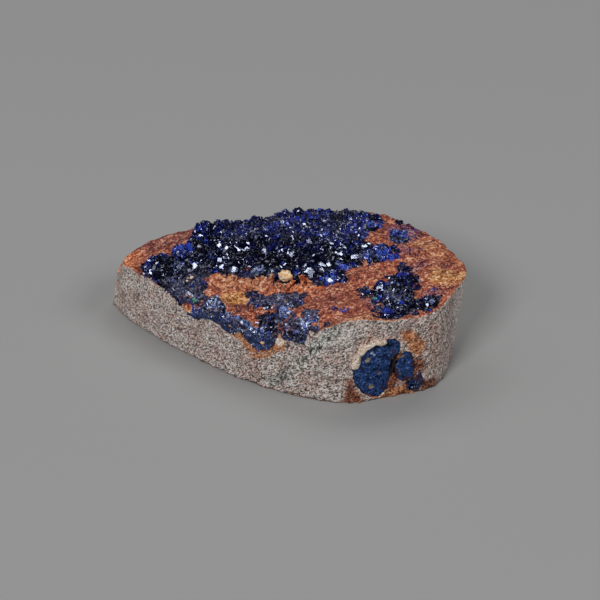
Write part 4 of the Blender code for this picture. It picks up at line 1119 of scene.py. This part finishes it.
def make_nodule(node, material):
    """One mass in the wall: lumpy and pitted in front, and closed on the stone around it."""
    mesh = copy_of_node(node)
    facing_out = [f.normal * f.calc_area() for f in mesh.faces if f.normal.y < -0.5]
    outward = sum(facing_out, Vector()).normalized()
    middle = sum((v.co for v in mesh.verts), Vector()) / len(mesh.verts)
    for vertex in mesh.verts:
        way = vertex.co - middle
        way -= outward * way.dot(outward)
        vertex.co += way.normalized() * NODULE_GROWTH
    mesh.normal_update()
    front = {f for f in mesh.faces if f.normal.dot(outward) > 0.3}
    for face in mesh.faces:
        face.material_index = int(face in front)
    refine(mesh, NODULE_STEP, lambda edge: any(f.material_index for f in edge.link_faces))
    inner = [v for v in mesh.verts if all(f.material_index for f in v.link_faces)]
    soften(mesh, inner, 4)
    places = np.array([v.co for v in inner])
    lumps = NODULE_RELIEF * waves(places, 1.0, 4, 2.0)
    pits = NODULE_PITS * smooth_step(2.4 * waves(places, 0.7, 2, 6.0) - 0.6)
    pits = np.maximum(pits, NODULE_PITS * spot_shares(places)["shaded_pore"])
    for vertex, lump, pit in zip(inner, lumps, pits):
        vertex.co += outward * float(lump - pit)
    for face in mesh.faces:
        face.material_index = 0
    shares = spot_shares(np.array([v.co for v in mesh.verts]))
    piece = finish_piece(mesh, node + "_mass", [material], [node])
    piece.data.shade_smooth()
    piece.data.set_sharp_from_angle(angle=math.radians(60))
    for kind, share in shares.items():
        paint(piece.data, kind, share)


dense_azurite = make_dense_azurite()
for nodule in ("nodule_main", "nodule_side", "nodule_low"):
    make_nodule(nodule, dense_azurite)

# Glassy beads of azurite on the lowest mass: place and radius.
LOW_BEADS = ((17.7, -14.25, 1.2, 0.52), (17.2, -14.3, 1.9, 0.28), (18.1, -14.0, 1.9, 0.24),
             (17.0, -14.5, 1.2, 0.22), (17.6, -14.2, 2.4, 0.2), (18.3, -13.9, 1.1, 0.2))
bead_shape = ball_shape(3)
low_beads = join_copies([(bead_shape, Matrix.Translation((x, y, z)) @ Matrix.Scale(radius, 4))
                         for x, y, z, radius in LOW_BEADS])[0]
low_beads = finish_piece(low_beads, "azurite_beads", [azurite_crystals])
paint(low_beads.data, "blue", np.full(len(low_beads.data.vertices), 0.25))
low_beads.data.shade_smooth()


# The limonite lumps: earthy tan hydrated iron oxide, the largest as big as a mustard seed.
# It sits in the front edge of the main druse, where it was caught as the crystals grew,
# and of three small ones two lie on the druse and one near the front rim.
GRAIN_STEP = 0.12
GRAIN_SHIFT = (0.25, -0.25, -0.2)  # how far the finished lump is settled into the crust
SMALL_LUMPS = (("limonite_fleck", (-12.9, -0.9, 10.3), 0.34), ("limonite_crumb", (-13.4, -1.2, 10.2), 0.24),
               ("limonite_spot", (-2.8, -12.7, 7.5), 0.3))


def make_limonite():
    """Limonite: dry, earthy and tan, with a few brown pores."""
    material, tree, shader, place = new_material("earthy limonite")
    fine = add(tree, "TexNoise", {"Vector": place, "Scale": 3.0, "Detail": 4.0, "Roughness": 0.65})
    colour = add(tree, "ValToRGB", {"Fac": fine.outputs["Fac"]}, (
        (0.32, "#8c5a2c"), (0.42, "#eeb67c"), (0.54, "#ffe4bc"), (0.7, "#fffaf0")))
    dress(tree, shader, colour.outputs["Color"], {"Roughness": 0.9}, (fine.outputs["Fac"], 0.9, 0.1))
    return material


def finish_lump(mesh, name, growth, nodes=()):
    """Swell a ball to an uneven lump, and finish it."""
    mesh.normal_update()
    places = np.array([v.co for v in mesh.verts])
    for vertex, swell in zip(mesh.verts, growth + 0.3 * waves(places, 0.5, 4)):
        vertex.co += vertex.normal * float(swell)
    lump = finish_piece(mesh, name, [limonite], nodes)
    lump.data.shade_smooth()


limonite = make_limonite()
grain_mesh = copy_of_node("limonite_grain")
refine(grain_mesh, GRAIN_STEP, lambda edge: True)
bmesh.ops.translate(grain_mesh, vec=GRAIN_SHIFT, verts=grain_mesh.verts)
soften(grain_mesh, grain_mesh.verts, 3)
finish_lump(grain_mesh, "limonite_lump", 0.0, ["limonite_grain"])
for lump_name, lump_place, lump_radius in SMALL_LUMPS:
    small_lump = bmesh.new()
    bmesh.ops.create_icosphere(small_lump, subdivisions=3, radius=lump_radius)
    bmesh.ops.translate(small_lump, vec=lump_place, verts=small_lump.verts)
    finish_lump(small_lump, lump_name, -0.05)


# The stage: a plain pale floor, plain soft light and a camera at the photograph's angle.
FLOOR_SIZE = 6.0
CAMERA_TARGET = Vector((0.0023, 0.001, 0.0055))
CAMERA_ELEVATION = math.radians(33)
CAMERA_DISTANCE = 0.238
CAMERA_LENS = 100.0      # millimetres, as the sensor is
CAMERA_SENSOR = 36.0


def make_floor():
    """A plain matte board, pale grey."""
    mesh = bmesh.new()
    bmesh.ops.create_grid(mesh, x_segments=1, y_segments=1, size=FLOOR_SIZE / 2)
    data = bpy.data.meshes.new("floor")
    mesh.to_mesh(data)
    mesh.free()
    floor = bpy.data.objects.new("floor", data)
    bpy.context.scene.collection.objects.link(floor)
    material, _, shader, _ = new_material("pale matte board")
    shader.inputs["Base Color"].default_value = linear("#a8a8a8")
    shader.inputs["Roughness"].default_value = 0.95
    shader.inputs["Specular IOR Level"].default_value = 0.1
    data.materials.append(material)


def add_softbox(name, azimuth, elevation, distance, size, watts):
    """A square softbox that faces the specimen."""
    light = bpy.data.lights.new(name, "AREA")
    light.size = size
    light.energy = watts
    a, e = math.radians(azimuth), math.radians(elevation)
    way = Vector((math.sin(a) * math.cos(e), -math.cos(a) * math.cos(e), math.sin(e)))
    lamp = bpy.data.objects.new(name, light)
    lamp.location = way * distance
    lamp.rotation_euler = way.to_track_quat("Z", "Y").to_euler()
    bpy.context.scene.collection.objects.link(lamp)


make_floor()
add_softbox("softbox_front", -28, 38, 1.2, 0.34, 6.9)
add_softbox("softbox_right", 66, 42, 1.2, 0.5, 3.6)
add_softbox("softbox_left", -100, 50, 1.2, 0.5, 0.9)
add_softbox("softbox_back_left", -150, 60, 1.2, 0.5, 1.8)
add_softbox("softbox_back_right", 155, 60, 1.2, 0.5, 1.8)

world = bpy.data.worlds.new("soft studio")
world.use_nodes = True
world.node_tree.nodes["Background"].inputs["Color"].default_value = linear("#ffffff")
world.node_tree.nodes["Background"].inputs["Strength"].default_value = 0.022
bpy.context.scene.world = world
bpy.context.scene.view_settings.view_transform = "Standard"

camera_data = bpy.data.cameras.new("camera")
camera_data.lens = CAMERA_LENS
camera_data.sensor_width = CAMERA_SENSOR
camera_data.clip_start = 0.01
camera = bpy.data.objects.new("camera", camera_data)
back = Vector((0, -math.cos(CAMERA_ELEVATION), math.sin(CAMERA_ELEVATION)))
camera.location = CAMERA_TARGET + back * CAMERA_DISTANCE
camera.rotation_euler = back.to_track_quat("Z", "Y").to_euler()
bpy.context.scene.collection.objects.link(camera)
bpy.context.scene.camera = camera
